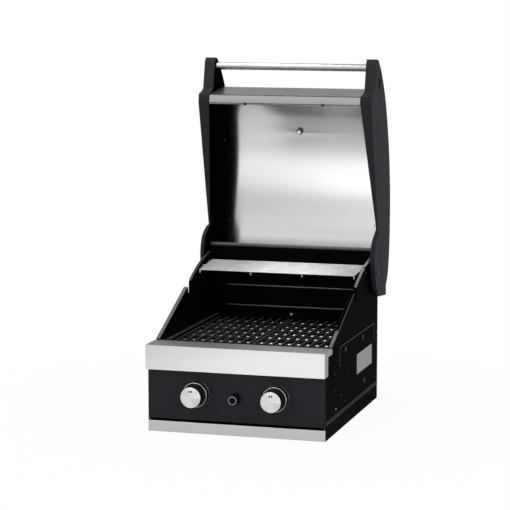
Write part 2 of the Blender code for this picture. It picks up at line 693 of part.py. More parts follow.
def build_rack():
    """Warming rack: long wires on cross wires, two of them longer, to lie in the cheeks."""
    half, wire = RACK_HALF_WIDTH, RACK_WIRE / 2
    carry = INSIDE_HALF
    crosses = [-half + wire + i * (RACK_HALF_WIDTH * 2 - RACK_WIRE) / (RACK_CROSS_WIRES - 1)
               for i in range(RACK_CROSS_WIRES)]
    xs = [-carry] + [x for middle in crosses for x in (middle - wire, middle + wire)] + [carry]
    ys = [y for row in range(RACK_ROWS)
          for y in (behind_front(rack_row(row)[0]) - wire, behind_front(rack_row(row)[0]) + wire)]

    def solid(i, j, k):
        row, long_wire = j // 2, j % 2 == 0
        if i in (0, len(xs) - 2):
            return long_wire and row in RACK_CARRIERS
        return long_wire or i % 2 == 1

    mesh = lattice(xs, ys, (-wire, wire), solid)
    start = behind_front(RACK_FRONT)
    for corner in mesh.verts:
        corner.co.z += RACK_HEIGHT + RACK_SLOPE_RISE * (corner.co.y - start) / RACK_LENGTH
    keep("warming_rack", mesh, CHROME)


def build_grates():
    """Two cooking grates with long bars on lower cross ribs."""
    front, back = FIREBOX_FRONT + SHEET + GRATE_MARGIN, FIREBOX_BACK - GRATE_MARGIN
    outer = FIREBOX_HALF_WIDTH - SHEET - GRATE_SIDE_CLEARANCE
    width = outer - GRATE_SEAM
    pitch = (width - GRATE_BAR_WIDTH) / (GRATE_BARS - 1)
    run = back - front - GRATE_RIB_WIDTH
    ys = [behind_front(front + share * run + extra)
          for share in GRATE_RIB_SHARES for extra in (0, GRATE_RIB_WIDTH)]
    zs = (GRATE_TOP - GRATE_THICKNESS, GRATE_TOP - GRATE_RIB_SINK, GRATE_TOP)
    for name, side in SIDES:
        xs = sorted(side * (GRATE_SEAM + bar * pitch + extra) for bar in range(GRATE_BARS)
                    for extra in (0, GRATE_BAR_WIDTH))
        mesh = lattice(xs, ys, zs, lambda i, j, k: i % 2 == 0 or (j % 2 == 0 and k == 0))
        keep("grate_" + name, mesh, CAST_IRON)


def build_tamers():
    """Folded flame tamers over the burners, on the lower flanges of the rails."""
    front = FIREBOX_FRONT + 2 * SHEET + GAP + TAMER_MARGIN
    back = FIREBOX_BACK - SHEET - GAP - TAMER_MARGIN
    foot = RAIL_BOTTOM + SHEET + GAP
    for name, side in SIDES:
        middle = side * KNOB_SPACING / 2
        path = [(middle - TAMER_WIDTH / 2, foot + TAMER_SHEET), (middle, foot + TAMER_RISE),
                (middle + TAMER_WIDTH / 2, foot + TAMER_SHEET)]
        keep("flame_tamer_" + name, prism(strip(path, -TAMER_SHEET), front, back, along_body), STAINLESS)


def build_knobs():
    """Knob bezels, knobs with their faces, stems, sprung collars and valves."""
    for name, side in SIDES:
        spot = (side * KNOB_SPACING / 2, behind_front(0), KNOB_HEIGHT)
        bore = STEM_RADIUS + GAP
        rim, front = KNOB_BEZEL_RADIUS, -GAP - KNOB_BEZEL_THICKNESS
        keep("knob_bezel_" + name, turned([(bore, -GAP), (rim, -GAP), (rim, -GAP - KNOB_BEZEL_THICKNESS / 2),
                                           (rim - KNOB_BEZEL_THICKNESS / 2, front), (bore, front)], spot,
                                          sides=28, closed=True), BLACK_PLASTIC)
        seat = -KNOB_REACH + KNOB_FACE_THICKNESS
        blind = -STEM_FRONT - GAP
        skirt = -KNOB_LIFT - KNOB_SKIRT_THICKNESS
        keep("knob_" + name, turned([(0, blind), (bore, blind), (bore, -KNOB_LIFT),
                                     (KNOB_SKIRT_RADIUS, -KNOB_LIFT), (KNOB_SKIRT_RADIUS, skirt),
                                     (KNOB_BASE_RADIUS, skirt),
                                     (KNOB_TIP_RADIUS, seat + GAP), (0, seat + GAP)], spot, sides=28),
             BLACK_PLASTIC, origin=spot)
        face = keep("knob_face_" + name, rod(KNOB_FACE_RADIUS, -KNOB_REACH, seat, spot, sides=28), STAINLESS,
                    origin=spot)
        cut(face, slab((spot[0] - KNOB_MARK_WIDTH / 2, spot[1] - KNOB_REACH - OVERRUN,
                        spot[2] + KNOB_FACE_RADIUS - KNOB_MARK_LENGTH),
                       (spot[0] + KNOB_MARK_WIDTH / 2, spot[1] - KNOB_REACH + KNOB_MARK_DEPTH,
                        spot[2] + KNOB_FACE_RADIUS + OVERRUN)))
        keep("valve_stem_" + name, rod(STEM_RADIUS, -STEM_FRONT, STEM_BACK, spot), BRASS, origin=spot)
        keep("valve_collar_" + name, turned([(bore, COLLAR_START), (COLLAR_RADIUS, COLLAR_START),
                                             (COLLAR_RADIUS, COLLAR_START + COLLAR_LENGTH),
                                             (bore, COLLAR_START + COLLAR_LENGTH)], spot, closed=True),
             BRASS, origin=spot)
        build_valve(name, spot)
        build_burner(name, spot)


def build_valve(name, spot):
    """Valve body that sits on the gas pipe, bored for the stem, with a nozzle into the burner."""
    end = VALVE_START + VALVE_LENGTH
    body = keep("valve_body_" + name,
                slab((spot[0] - VALVE_WIDTH / 2, spot[1] + VALVE_START, PIPE_HEIGHT + PIPE_RADIUS + GAP),
                     (spot[0] + VALVE_WIDTH / 2, spot[1] + end, VALVE_TOP)), BRASS)
    weld(body, rod(NOZZLE_RADIUS, end - OVERRUN, NOZZLE_END, spot))
    cut(body, rod(STEM_RADIUS + GAP, VALVE_START - OVERRUN, STEM_BACK + KNOB_PUSH + GAP, spot))


def build_burner(name, spot):
    """Tube burner with an open mouth, carried by its neck and its tail pin, and its spark electrode."""
    mouth, tube, wall = BURNER_MOUTH_RADIUS, BURNER_RADIUS, BURNER_WALL
    keep("burner_" + name, turned([(0, BURNER_TUBE_END - wall), (tube - wall, BURNER_TUBE_END - wall),
                                   (tube - wall, BURNER_TUBE_START), (mouth - wall, BURNER_NECK_END),
                                   (mouth - wall, BURNER_START), (mouth, BURNER_START), (mouth, BURNER_NECK_END),
                                   (tube, BURNER_TUBE_START), (tube, BURNER_TUBE_END),
                                   (BURNER_TAIL_RADIUS, BURNER_TUBE_END + BURNER_TAIL_TAPER),
                                   (BURNER_TAIL_RADIUS, FIREBOX_BACK - GAP), (0, FIREBOX_BACK - GAP)], spot,
                                  sides=24), STAINLESS)
    place = (math.copysign(KNOB_SPACING / 2 - ELECTRODE_OFFSET, spot[0]), spot[1], ELECTRODE_HEIGHT)
    keep("spark_electrode_" + name, turned([(0, ELECTRODE_START), (ELECTRODE_RADIUS, ELECTRODE_START),
                                            (ELECTRODE_RADIUS, ELECTRODE_TIP_START),
                                            (ELECTRODE_TIP_RADIUS, ELECTRODE_TIP_START),
                                            (ELECTRODE_TIP_RADIUS, ELECTRODE_END), (0, ELECTRODE_END)], place,
                                           sides=12), CERAMIC)


def build_manifold():
    """Gas pipe along the front and back through the rear panel, with one round bend."""
    route = [Vector((-PIPE_LEFT_END, PIPE_DEPTH, PIPE_HEIGHT))]
    for step in range(7):
        turn = step / 6 * math.pi / 2
        route.append(Vector((PIPE_RUN_X - PIPE_BEND * (1 - math.sin(turn)),
                             PIPE_DEPTH + PIPE_BEND * (1 - math.cos(turn)), PIPE_HEIGHT)))
    route.append(Vector((PIPE_RUN_X, BODY_DEPTH + PIPE_TAIL, PIPE_HEIGHT)))
    curve = bpy.data.curves.new("gas_manifold", "CURVE")
    curve.dimensions = "3D"
    curve.bevel_depth = PIPE_RADIUS
    curve.bevel_resolution = 3
    curve.use_fill_caps = True
    spline = curve.splines.new("POLY")
    spline.points.add(len(route) - 1)
    for point, spot in zip(spline.points, route):
        point.co = (spot.x, behind_front(spot.y), spot.z, 1)
    curve.materials.append(GALVANISED)
    pipe = bpy.data.objects.new("gas_manifold", curve)
    bpy.context.scene.collection.objects.link(pipe)


def build_igniter():
    """Ignition button in its chromed barrel."""
    spot = (0, behind_front(0), IGNITER_HEIGHT)
    nut = SHEET + GAP
    bore_end = IGNITER_PUSH + IGNITER_BORE_SPARE
    keep("igniter_barrel", turned([(0, bore_end), (IGNITER_BORE, bore_end),
                                   (IGNITER_BORE, -IGNITER_FRONT), (IGNITER_RADIUS, -IGNITER_FRONT),
                                   (IGNITER_RADIUS, -IGNITER_FLANGE - GAP),
                                   (IGNITER_FLANGE_RADIUS, -IGNITER_FLANGE - GAP),
                                   (IGNITER_FLANGE_RADIUS, -GAP), (IGNITER_RADIUS, -GAP), (IGNITER_RADIUS, nut),
                                   (IGNITER_FLANGE_RADIUS, nut), (IGNITER_FLANGE_RADIUS, nut + IGNITER_NUT),
                                   (IGNITER_RADIUS, nut + IGNITER_NUT), (IGNITER_RADIUS, IGNITER_BACK),
                                   (0, IGNITER_BACK)], spot, sides=24), CHROME)
    keep("igniter_button", rod(IGNITER_BUTTON_RADIUS, -IGNITER_BUTTON_FRONT, 0, spot, sides=20), BLACK_PLASTIC,
         origin=spot)


def build_tray():
    """Drip tray with side flanges, its steel front and the two runners."""
    wide = TRAY_HALF_WIDTH + TRAY_FLANGE_WIDTH
    inner = TRAY_HALF_WIDTH - SHEET
    front, back = SHEET + GAP, TRAY_BACK
    xs = (-wide, -TRAY_HALF_WIDTH, -inner, inner, TRAY_HALF_WIDTH, wide)
    ys = [behind_front(y) for y in (front, front + SHEET, back - SHEET, back)]
    zs = (TRAY_BOTTOM, TRAY_BOTTOM + SHEET, TRAY_FLANGE_HEIGHT, TRAY_FLANGE_HEIGHT + SHEET, TRAY_TOP)

    def solid(i, j, k):
        if i in (0, 4):
            return k == 2
        return k == 0 or i in (1, 3) or j in (0, 2)

    keep("drip_tray", lattice(xs, ys, zs, solid), GALVANISED)
    keep("tray_front", slab((-HALF_WIDTH, behind_front(0), TRAY_FRONT_BOTTOM),
                            (HALF_WIDTH, behind_front(SHEET), TRAY_FRONT_TOP)), STAINLESS)
    seat = TRAY_FLANGE_HEIGHT - GAP
    for name, side in SIDES:
        upright = side * (INSIDE_HALF - SHEET)
        inner = side * (TRAY_HALF_WIDTH + RUNNER_STEP)
        path = [(inner, seat), (upright, seat), (upright, seat + RUNNER_RISE)]
        runner = prism(strip(path, -side * SHEET), RUNNER_FRONT, BODY_DEPTH - RUNNER_REAR_SPACE, along_body)
        keep("tray_runner_" + name, runner, GALVANISED)


def cap_thickness(ahead):
    """Give a lid cap's thickness, thin over the hinge and thick at the front."""
    share = (ahead - CAP_TAPER_START) / (CAP_TAPER_END - CAP_TAPER_START)
    return CAP_THIN + min(max(share, 0), 1) * (CAP_THICK - CAP_THIN)


def cap_inner(ahead):
    """Give the distance of a lid cap's inner face from the middle of the grill."""
    return HALF_WIDTH + CAP_OUTER - cap_thickness(ahead)


def tapered(outline, inner, outer):
    """Close a lid outline between two faces whose distances from the middle follow how far ahead they are."""
    mesh = bmesh.new()
    mesh.faces.new([mesh.verts.new(across_lid(*point, 0)) for point in outline])
    for ahead in (CAP_TAPER_START, CAP_TAPER_END):
        whole = list(mesh.verts) + list(mesh.edges) + list(mesh.faces)
        bmesh.ops.bisect_plane(mesh, geom=whole, plane_co=(0, -ahead, 0), plane_no=(0, 1, 0))
    near = list(mesh.verts)
    grown = bmesh.ops.extrude_face_region(mesh, geom=list(mesh.faces), use_keep_orig=True)
    far = [item for item in grown["geom"] if isinstance(item, bmesh.types.BMVert)]
    for corner in near:
        corner.co.x = inner(-corner.co.y)
    for corner in far:
        corner.co.x = outer(-corner.co.y)
    return mesh


def wide_sheet(path):
    """Stretch a folded lid sheet from one side plate to the other."""
    mesh = bmesh.new()
    under = offset(path, LID_SHEET)
    rows = []
    for outer, inner in zip(path, under):
        row = []
        for ahead, above in (outer, inner):
            reach = cap_inner(ahead) - LID_SHEET - 2 * GAP
            row.append([mesh.verts.new(across_lid(ahead, above, side * reach)) for side in (-1, 1)])
        rows.append(row)
    for first, second in zip(rows, rows[1:]):
        for a, b in (((0, 0), (0, 1)), ((0, 1), (1, 1)), ((1, 1), (1, 0)), ((1, 0), (0, 0))):
            mesh.faces.new((first[a[0]][a[1]], first[b[0]][b[1]], second[b[0]][b[1]], second[a[0]][a[1]]))
    for row in (rows[0], rows[-1]):
        mesh.faces.new((row[0][0], row[0][1], row[1][1], row[1][0]))
    return mesh


def height_on(path, ahead):
    """Give the height of a lid path at a place ahead of the pivot."""
    for start, end in zip(path, path[1:]):
        if min(start.x, end.x) <= ahead <= max(start.x, end.x) and start.x != end.x:
            return start.y + (end.y - start.y) * (ahead - start.x) / (end.x - start.x)
    return 0


def build_caps(pivot):
    """Cast lid caps, hollow towards the inside, and the plates that close them."""
    outline = (smooth(lid_points(CROWN_SHARES)) + lid_points(CORNER_SHARES) + smooth(lid_points(LOBE_SHARES))
               + lid_points(FRONT_SHARES))
    outer = HALF_WIDTH + CAP_OUTER
    for name, side in SIDES:
        cap = keep("lid_cap_" + name, tapered(outline, lambda ahead: side * cap_inner(ahead),
                                              lambda ahead: side * outer), BLACK_CASTING, pivot)
        pocket = prism(lid_points(POCKET_SHARES), side * (outer - CAP_WALL), side * (outer - 2 * CAP_THICK),
                       across_lid)
        ahead, above = lid_points((EAR_RECESS_SHARES,))[0]
        long, tall = EAR_RECESS_WIDTH / 2, EAR_RECESS_HEIGHT / 2
        recess = slab((side * outer - EAR_RECESS_DEPTH, -ahead - long, above - tall),
                      (side * outer + EAR_RECESS_DEPTH, -ahead + long, above + tall))
        pad = outer + PAD_RISE
        pad_outline = smooth(lid_points(PAD_SHARES))[:-1]
        weld(cap, prism(pad_outline, side * (outer - CAP_WALL), side * pad, across_lid))
        inside, outside = side * (HALF_WIDTH - OVERRUN), side * (pad + OVERRUN)
        hole = rod(PIN_RADIUS + GAP, inside, outside, (0, 0, 0), "X", 20)
        cut(cap, pocket, recess, hole)
        keep("lid_side_plate_" + name,
             tapered(lid_points(SIDE_PLATE_SHARES), lambda ahead: side * (cap_inner(ahead) - GAP - LID_SHEET),
                     lambda ahead: side * (cap_inner(ahead) - GAP)), STAINLESS, pivot)


def build_pins(pivot):
    """Pivot pins that pass through a cap and a cheek, with a head outside and a riveted tail inside."""
    outer = HALF_WIDTH + CAP_OUTER + PAD_RISE
    tail = HALF_WIDTH - FLANGE_WIDTH - GAP
    for name, side in SIDES:
        profile = [(0, tail - PIN_TAIL_LENGTH), (PIN_TAIL_RADIUS, tail - PIN_TAIL_LENGTH),
                   (PIN_TAIL_RADIUS, tail), (PIN_RADIUS, tail), (PIN_RADIUS, outer + GAP), (PIN_HEAD_RADIUS, outer + GAP),
                   (PIN_HEAD_RADIUS, outer + GAP + PIN_HEAD_LENGTH), (0, outer + GAP + PIN_HEAD_LENGTH)]
        keep("pivot_pin_" + name, turned([(radius, side * along) for radius, along in profile],
                                         (0, behind_front(PIVOT_DEPTH), PIVOT_HEIGHT), "X"), CHROME)


def build_lid_sheets(pivot):
    """Outer skin with its front fascia, liner and front trim."""
    skin, liner = lid_points(SKIN_SHARES), lid_points(LINER_SHARES)
    skin_path, liner_path = skin[:1] + smooth(skin[1:]), liner[:1] + smooth(liner[1:])
    outer = keep("lid_skin", wide_sheet(skin_path), STAINLESS, pivot)
    inner = keep("lid_liner", wide_sheet(liner_path), LINER_STEEL, pivot)
    keep("lid_front_trim", wide_sheet(lid_points(TRIM_SHARES)[::-1]),
         STAINLESS, pivot)
    for sheet in (outer, inner):
        cut(sheet, rod(THERMOMETER_STEM_RADIUS + HOLE_FIT, 0, LID_CROWN * 2, (0, -THERMOMETER_AHEAD, 0), "Z"))
    return skin_path, liner_path


def build_thermometer(pivot, skin_path, liner_path):
    """Thermometer on the lid: a dish with a stem, a needle and a nut under the liner."""
    spot = (0, -THERMOMETER_AHEAD, 0)
    edges = [height_on(skin_path, THERMOMETER_AHEAD + side * THERMOMETER_RADIUS) for side in (-1, 0, 1)]
    base = max(edges) + GAP
    inside = height_on(liner_path, THERMOMETER_AHEAD + NUT_RADIUS) - LID_SHEET - 2 * GAP
    floor, rim = base + THERMOMETER_FLOOR, base + THERMOMETER_RISE
    well = THERMOMETER_RADIUS - THERMOMETER_RIM
    tip = inside - NUT_HEIGHT - THERMOMETER_STEM_TIP
    keep("thermometer_case", turned([(0, tip), (THERMOMETER_STEM_RADIUS, tip), (THERMOMETER_STEM_RADIUS, base),
                                     (THERMOMETER_RADIUS, base), (THERMOMETER_RADIUS, rim), (well, rim),
                                     (well, floor), (0, floor)], spot, "Z", 24), CHROME, pivot)
    keep("thermometer_nut", turned([(THERMOMETER_STEM_RADIUS + GAP, inside), (NUT_RADIUS, inside),
                                    (NUT_RADIUS, inside - NUT_HEIGHT),
                                    (THERMOMETER_STEM_RADIUS + GAP, inside - NUT_HEIGHT)], spot, "Z", 12,
                                   closed=True), GALVANISED, pivot)
    low = floor + GAP
    needle = lattice([-NEEDLE_WIDTH / 2, NEEDLE_WIDTH / 2],
                     [-THERMOMETER_AHEAD - NEEDLE_LENGTH / 2, -THERMOMETER_AHEAD + NEEDLE_LENGTH / 2],
                     [low, low + NEEDLE_THICKNESS], lambda i, j, k: True)
    keep("thermometer_needle", needle, RUBBER, pivot, origin=(0, -THERMOMETER_AHEAD, low))


def build_lid():
    """Everything that turns with the lid."""
    pivot = bpy.data.objects.new("lid_pivot", None)
    bpy.context.scene.collection.objects.link(pivot)
    pivot.location = (0, behind_front(PIVOT_DEPTH), PIVOT_HEIGHT)
    pivot.rotation_euler.x = LID_OPEN_TURN
    build_caps(pivot)
    build_pins(pivot)
    skin_path, liner_path = build_lid_sheets(pivot)
    build_thermometer(pivot, skin_path, liner_path)
    ahead, above = lid_points((HANDLE_SHARES,))[0]
    reach = cap_inner(LID_REACH) - GAP
    keep("lid_handle", turned([(HANDLE_BORE, -reach), (HANDLE_RADIUS, -reach), (HANDLE_RADIUS, reach),
                               (HANDLE_BORE, reach)], (0, -ahead, above), "X", 20, closed=True), STAINLESS, pivot)
    top = RIM_SHARE * LID_CROWN - GAP
    for name, side in SIDES:
        keep("lid_bumper_" + name, rod(BUMPER_RADIUS, top - BUMPER_LENGTH, top,
                                       (side * BUMPER_SPACING / 2, -BUMPER_SHARE * LID_REACH, 0), "Z", 12),
             RUBBER, pivot)


def main():
    """Build the whole grill."""
    build_base()
    build_sides()
    build_rear_panel()
    build_front()
    build_firebox()
    build_cheeks()
    build_rack()
    build_grates()
    build_tamers()
    build_knobs()
    build_manifold()
    build_igniter()
    build_tray()
    build_lid()


main()
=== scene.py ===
"""Dressed model of the built in gas grill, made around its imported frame."""
import logging
import math
from dataclasses import dataclass, field, replace
from enum import Enum
from typing import Iterable, Sequence

import bmesh
import bpy
from mathutils import Matrix, Vector

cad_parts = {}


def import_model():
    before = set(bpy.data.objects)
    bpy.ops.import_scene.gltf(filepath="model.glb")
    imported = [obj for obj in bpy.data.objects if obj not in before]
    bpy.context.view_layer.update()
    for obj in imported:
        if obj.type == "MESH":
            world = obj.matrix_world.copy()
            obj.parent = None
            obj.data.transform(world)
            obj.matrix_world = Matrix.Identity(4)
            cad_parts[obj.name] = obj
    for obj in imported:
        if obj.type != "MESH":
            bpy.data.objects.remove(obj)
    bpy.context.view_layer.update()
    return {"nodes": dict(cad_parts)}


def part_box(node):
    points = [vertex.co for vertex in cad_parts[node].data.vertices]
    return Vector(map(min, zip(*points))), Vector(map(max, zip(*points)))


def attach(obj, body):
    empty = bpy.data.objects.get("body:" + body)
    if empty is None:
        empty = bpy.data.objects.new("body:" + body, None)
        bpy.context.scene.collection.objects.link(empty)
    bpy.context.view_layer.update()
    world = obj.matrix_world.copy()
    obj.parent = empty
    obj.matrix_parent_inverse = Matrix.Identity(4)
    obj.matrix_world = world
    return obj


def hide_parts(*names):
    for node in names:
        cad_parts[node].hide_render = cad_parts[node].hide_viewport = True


Point = Sequence[float]
Pair = tuple[float, float]
Triple = tuple[float, float, float]
Socket = bpy.types.NodeSocket

LOG = logging.getLogger("grill")
SIDES = (("left", -1), ("right", 1))
FORWARD, BACKWARD, UPWARD = (0, -1, 0), (0, 1, 0), (0, 0, 1)
ORIGIN = (0, 0, 0)

# Sizes are in metres, and angles are written in degrees.
NO_LIMIT = 9.0
MERGE_DISTANCE = 0.00001
EDGE_ANGLE = 32.0
WIRE_ANGLE = 40.0
HOOP_ANGLE = 60.0
FLAT_ANGLE = 0.4
UPWARD_LEAN = 0.35
NORMAL_WEIGHT = 60
HOOP_SIDES, HOOP_WIRE_SIDES = 72, 10
BEND_STEPS, BAR_EDGE_STEPS, RIB_SIDES = 4, 3, 20

# The noise in the finishes, and the sockets of a node that mixes colours.
CLOUD_SCALE, CLOUD_DETAIL, GRAIN_DETAIL = 14.0, 4.0, 3.0
NOISE_RANGE = (0.3, 0.7)
LEAST_ROUGHNESS = 0.03
BUMP_DISTANCE = 0.0004
MIX_SHARE, MIX_FIRST, MIX_SECOND, MIX_RESULT = 0, 6, 7, 2


class Texture(Enum):
    """Named kinds of surface grain."""

    BRUSHED = "brushed"
    PEEL = "peel"
    CAST = "cast"
    SPUN = "spun"
    SMOOTH = "smooth"


# How fine the grain is along X, Y and Z, as a share of the finish's own grain.
EVEN_GRAIN = (1.0, 1.0, 1.0)
DRAWN_GRAIN = {Texture.BRUSHED: (0.012, 1.0, 1.0), Texture.SPUN: (1.0, 0.0, 1.0)}


def node(tree: bpy.types.NodeTree, kind: str, inputs: dict[int | str, object] | None = None,
         **settings: object) -> bpy.types.Node:
    """Add a node to a tree and set it up.

    Args:
        tree: The node tree of a material, a world or a geometry modifier.
        kind: The node's type.
        inputs: What enters each input: a socket, which is linked, or a value.
        settings: The node's properties.

    Returns:
        The new node.
    """
    made = tree.nodes.new(kind)
    for name, value in settings.items():
        setattr(made, name, value)
    for name, value in (inputs or {}).items():
        if isinstance(value, Socket):
            tree.links.new(value, made.inputs[name])
        else:
            made.inputs[name].default_value = value
    return made


def ranged(tree: bpy.types.NodeTree, value: Socket, source: Pair, low: float | Socket,
           high: float | Socket) -> Socket:
    """Carry a value from one range into another.

    Args:
        tree: The node tree.
        value: The socket of the value.
        source: The ends of the range that it comes from.
        low: What the first end becomes.
        high: What the second end becomes.

    Returns:
        The socket of the result.
    """
    return node(tree, "ShaderNodeMapRange", {
        "Value": value, "From Min": source[0], "From Max": source[1], "To Min": low, "To Max": high,
    }).outputs["Result"]


def mixed(tree: bpy.types.NodeTree, share: Socket, first: float | Socket, second: float | Socket) -> Socket:
    """Mix two values.

    Args:
        tree: The node tree.
        share: The socket of the second value's share.
        first: The first value.
        second: The second value.

    Returns:
        The socket of the result.
    """
    return node(tree, "ShaderNodeMix", {"Factor": share, "A": first, "B": second}).outputs["Result"]


@dataclass(frozen=True)
class Finish:
    """A surface finish: its colour, gloss and grain, with the record's slot it belongs to.

    A noise of fine grain and wide clouds moves the roughness by up to spread, and the colour down to
    its share shade. Relief is how strongly the grain stands out. Where drawn_out isn't zero,
    reflections are drawn out up and down, or on a spun face away from its centre.
    """

    name: str
    slot: str
    colour: Triple
    metallic: float
    roughness: float
    texture: Texture
    grain: float
    relief: float
    spread: float = 0.06
    shade: float = 0.88
    specular: float = 0.5
    centre: Triple = (0.0, 0.0, 0.0)
    drawn_out: float = 0.0

    def material(self) -> bpy.types.Material:
        """Build the finish's node material once.

        Returns:
            The material that shows this finish.
        """
        made = bpy.data.materials.get(self.name)
        if made:
            return made
        made = bpy.data.materials.new(self.name)
        made.use_nodes = True
        tree = made.node_tree
        shader = tree.nodes["Principled BSDF"].inputs
        shader["Metallic"].default_value = self.metallic
        shader["Specular IOR Level"].default_value = self.specular
        shader["Anisotropic"].default_value = self.drawn_out
        place = node(tree, "ShaderNodeTexCoord").outputs["Object"]
        if self.drawn_out:
            tree.links.new(self._tangent(tree, place), shader["Tangent"])
        grain = self._grain(tree, place)
        clouds = node(tree, "ShaderNodeTexNoise", {
            "Vector": place, "Scale": CLOUD_SCALE, "Detail": CLOUD_DETAIL})
        halved = node(tree, "ShaderNodeMath", {0: clouds.outputs["Fac"], 1: 0.5}, operation="MULTIPLY")
        both = node(tree, "ShaderNodeMath", {0: grain, 1: 0.5, 2: halved.outputs[0]},
                    operation="MULTIPLY_ADD")
        if self.spread:
            low = max(LEAST_ROUGHNESS, self.roughness - self.spread)
            high = min(1.0, self.roughness + self.spread)
            tree.links.new(ranged(tree, both.outputs[0], NOISE_RANGE, low, high), shader["Roughness"])
        else:
            shader["Roughness"].default_value = self.roughness
        full = (*self.colour, 1.0)
        shaded = (*(self.shade * value for value in self.colour), 1.0)
        tint = node(tree, "ShaderNodeMix", {
            MIX_SHARE: both.outputs[0], MIX_FIRST: shaded, MIX_SECOND: full}, data_type="RGBA")
        tree.links.new(tint.outputs[MIX_RESULT], shader["Base Color"])
        bump = node(tree, "ShaderNodeBump", {
            "Strength": self.relief, "Distance": BUMP_DISTANCE, "Height": grain})
        tree.links.new(bump.outputs["Normal"], shader["Normal"])
        return made

    def _tangent(self, tree: bpy.types.NodeTree, place: Socket) -> Socket:
        """Give the way reflections are drawn out: up and down, or away from the centre of a spun face.

        Args:
            tree: The material's node tree.
            place: The socket of the place on the object.

        Returns:
            The socket that carries the direction.
        """
        way: Triple | Socket = (0.0, 0.0, 1.0)
        if self.texture is Texture.SPUN:
            away = node(tree, "ShaderNodeVectorMath", {0: place, 1: self.centre}, operation="SUBTRACT")
            way = away.outputs[0]
        drawn = node(tree, "ShaderNodeVectorTransform", {0: way}, vector_type="VECTOR",
                     convert_from="OBJECT", convert_to="WORLD")
        return drawn.outputs[0]

    def _grain(self, tree: bpy.types.NodeTree, place: Socket) -> Socket:
        """Add the noise that is the finish's grain.

        Args:
            tree: The material's node tree.
            place: The socket of the place on the object.

        Returns:
            The socket that carries the grain.
        """
        drawn = DRAWN_GRAIN.get(self.texture, EVEN_GRAIN)
        if self.texture is Texture.SPUN:
            mapping = node(tree, "ShaderNodeMapping", {"Vector": place, "Location": self.centre},
                           vector_type="TEXTURE")
            flat = node(tree, "ShaderNodeVectorMath", {0: mapping.outputs[0], 1: drawn},
                        operation="MULTIPLY")
            away = node(tree, "ShaderNodeVectorMath", {0: flat.outputs["Vector"]}, operation="LENGTH")
            inputs = {"W": away.outputs["Value"], "Scale": self.grain, "Detail": GRAIN_DETAIL}
            noise = node(tree, "ShaderNodeTexNoise", inputs, noise_dimensions="1D")
        else:
            mapping = node(tree, "ShaderNodeMapping", {
                "Vector": place, "Scale": [self.grain * part for part in drawn]})
            noise = node(tree, "ShaderNodeTexNoise", {
                "Vector": mapping.outputs[0], "Scale": 1.0, "Detail": GRAIN_DETAIL})
        return noise.outputs["Fac"]


BRUSHED_STEEL = Finish("brushed_steel", "stainless", (0.70, 0.70, 0.708), 1.0, 0.27, Texture.BRUSHED,
                       2600.0, 0.008, spread=0.010, shade=0.97)
# The tray front: a brighter copy of the brushed steel, painted light.
PAINTED_LIGHT_TRAY_STEEL = replace(BRUSHED_STEEL, name="tray_steel", colour=(0.79, 0.79, 0.798))
# The bezel's top faces: a darker copy of the brushed steel, painted shade, and rougher as satin.
PAINTED_SHADE_SATIN_TOP = Finish("satin_top", "stainless", (0.36, 0.355, 0.37), 1.0, 0.44, Texture.SMOOTH, 700.0, 0.0,
                   spread=0.02, shade=0.97)
SEAM_STEEL = Finish("seam_steel", "stainless", (0.29, 0.286, 0.30), 1.0, 0.34, Texture.BRUSHED,
                    2600.0, 0.02, spread=0.03, shade=0.93)
TRIM_STEEL = replace(SEAM_STEEL, name="trim_steel", colour=(0.45, 0.445, 0.465), roughness=0.28,
                     relief=0.03, spread=0.04)
LINER_SATIN = Finish("liner_satin", "liner_steel", (0.95, 0.944, 0.962), 1.0, 0.175, Texture.BRUSHED,
                     1800.0, 0.0, spread=0.0, shade=0.97, drawn_out=0.90)
SPUN_STEEL = Finish("spun_face", "stainless", (0.86, 0.86, 0.87), 1.0, 0.34, Texture.SPUN, 2600.0, 0.03,
                    spread=0.04, shade=0.9, drawn_out=1.0)
BAR_STEEL = Finish("bar_steel", "stainless", (0.44, 0.44, 0.44), 1.0, 0.30, Texture.SMOOTH, 700.0, 0.0,
                   spread=0.008, shade=0.97)
# The handle's bands by how far a face looks down: the lower band keeps nearly the top's colour, and the
# underside is painted dark, a painted shade.
SHADED_BAR = replace(BAR_STEEL, name="shaded_bar", colour=(0.44, 0.44, 0.445))
PAINTED_SHADE_UNDER_BAR = replace(BAR_STEEL, name="under_bar", colour=(0.11, 0.11, 0.115))
# Matt black: the lid's own side plates, and also painted shade on the caps' inner faces and painted shadow
# lines along the lid's front trim.
MATT_BLACK_AND_SHADE = Finish("seat_black", "stainless", (0.0015, 0.0015, 0.0025), 0.0, 0.45, Texture.PEEL, 420.0,
                    0.05, spread=0.05, shade=0.7, specular=0.0)
BLACK_GLAZE = Finish("black_glaze", "black_enamel", (0.0024, 0.0022, 0.0042), 0.0, 0.30, Texture.PEEL,
                     420.0, 0.08, spread=0.07, shade=0.6, specular=0.001)
PIT_GLAZE = replace(BLACK_GLAZE, name="pit_glaze", colour=(0.0018, 0.0017, 0.0042), relief=0.12,
                    spread=0.08, specular=0.02)
PANEL_GLAZE = Finish("panel_glaze", "black_enamel", (0.0160, 0.0153, 0.0208), 0.0, 0.42, Texture.PEEL,
                     900.0, 0.05, spread=0.04, shade=0.85, specular=0.14)
# A lighter copy of the black enamel, painted light on faces that look up and on the side panels' slope
# rims.
PAINTED_LIGHT_GLAZE = Finish("lit_glaze", "black_enamel", (0.115, 0.113, 0.122), 0.0, 0.34, Texture.PEEL, 420.0,
                   0.06, spread=0.05, shade=0.85)
# A lighter, glossier copy of the enamel for the rear wall's pressed ribs, a painted highlight.
PAINTED_HIGHLIGHT_RIB_GLAZE = replace(PAINTED_LIGHT_GLAZE, name="edge_glaze", colour=(0.0060, 0.0058, 0.0072), roughness=0.24,
                     shade=0.7)
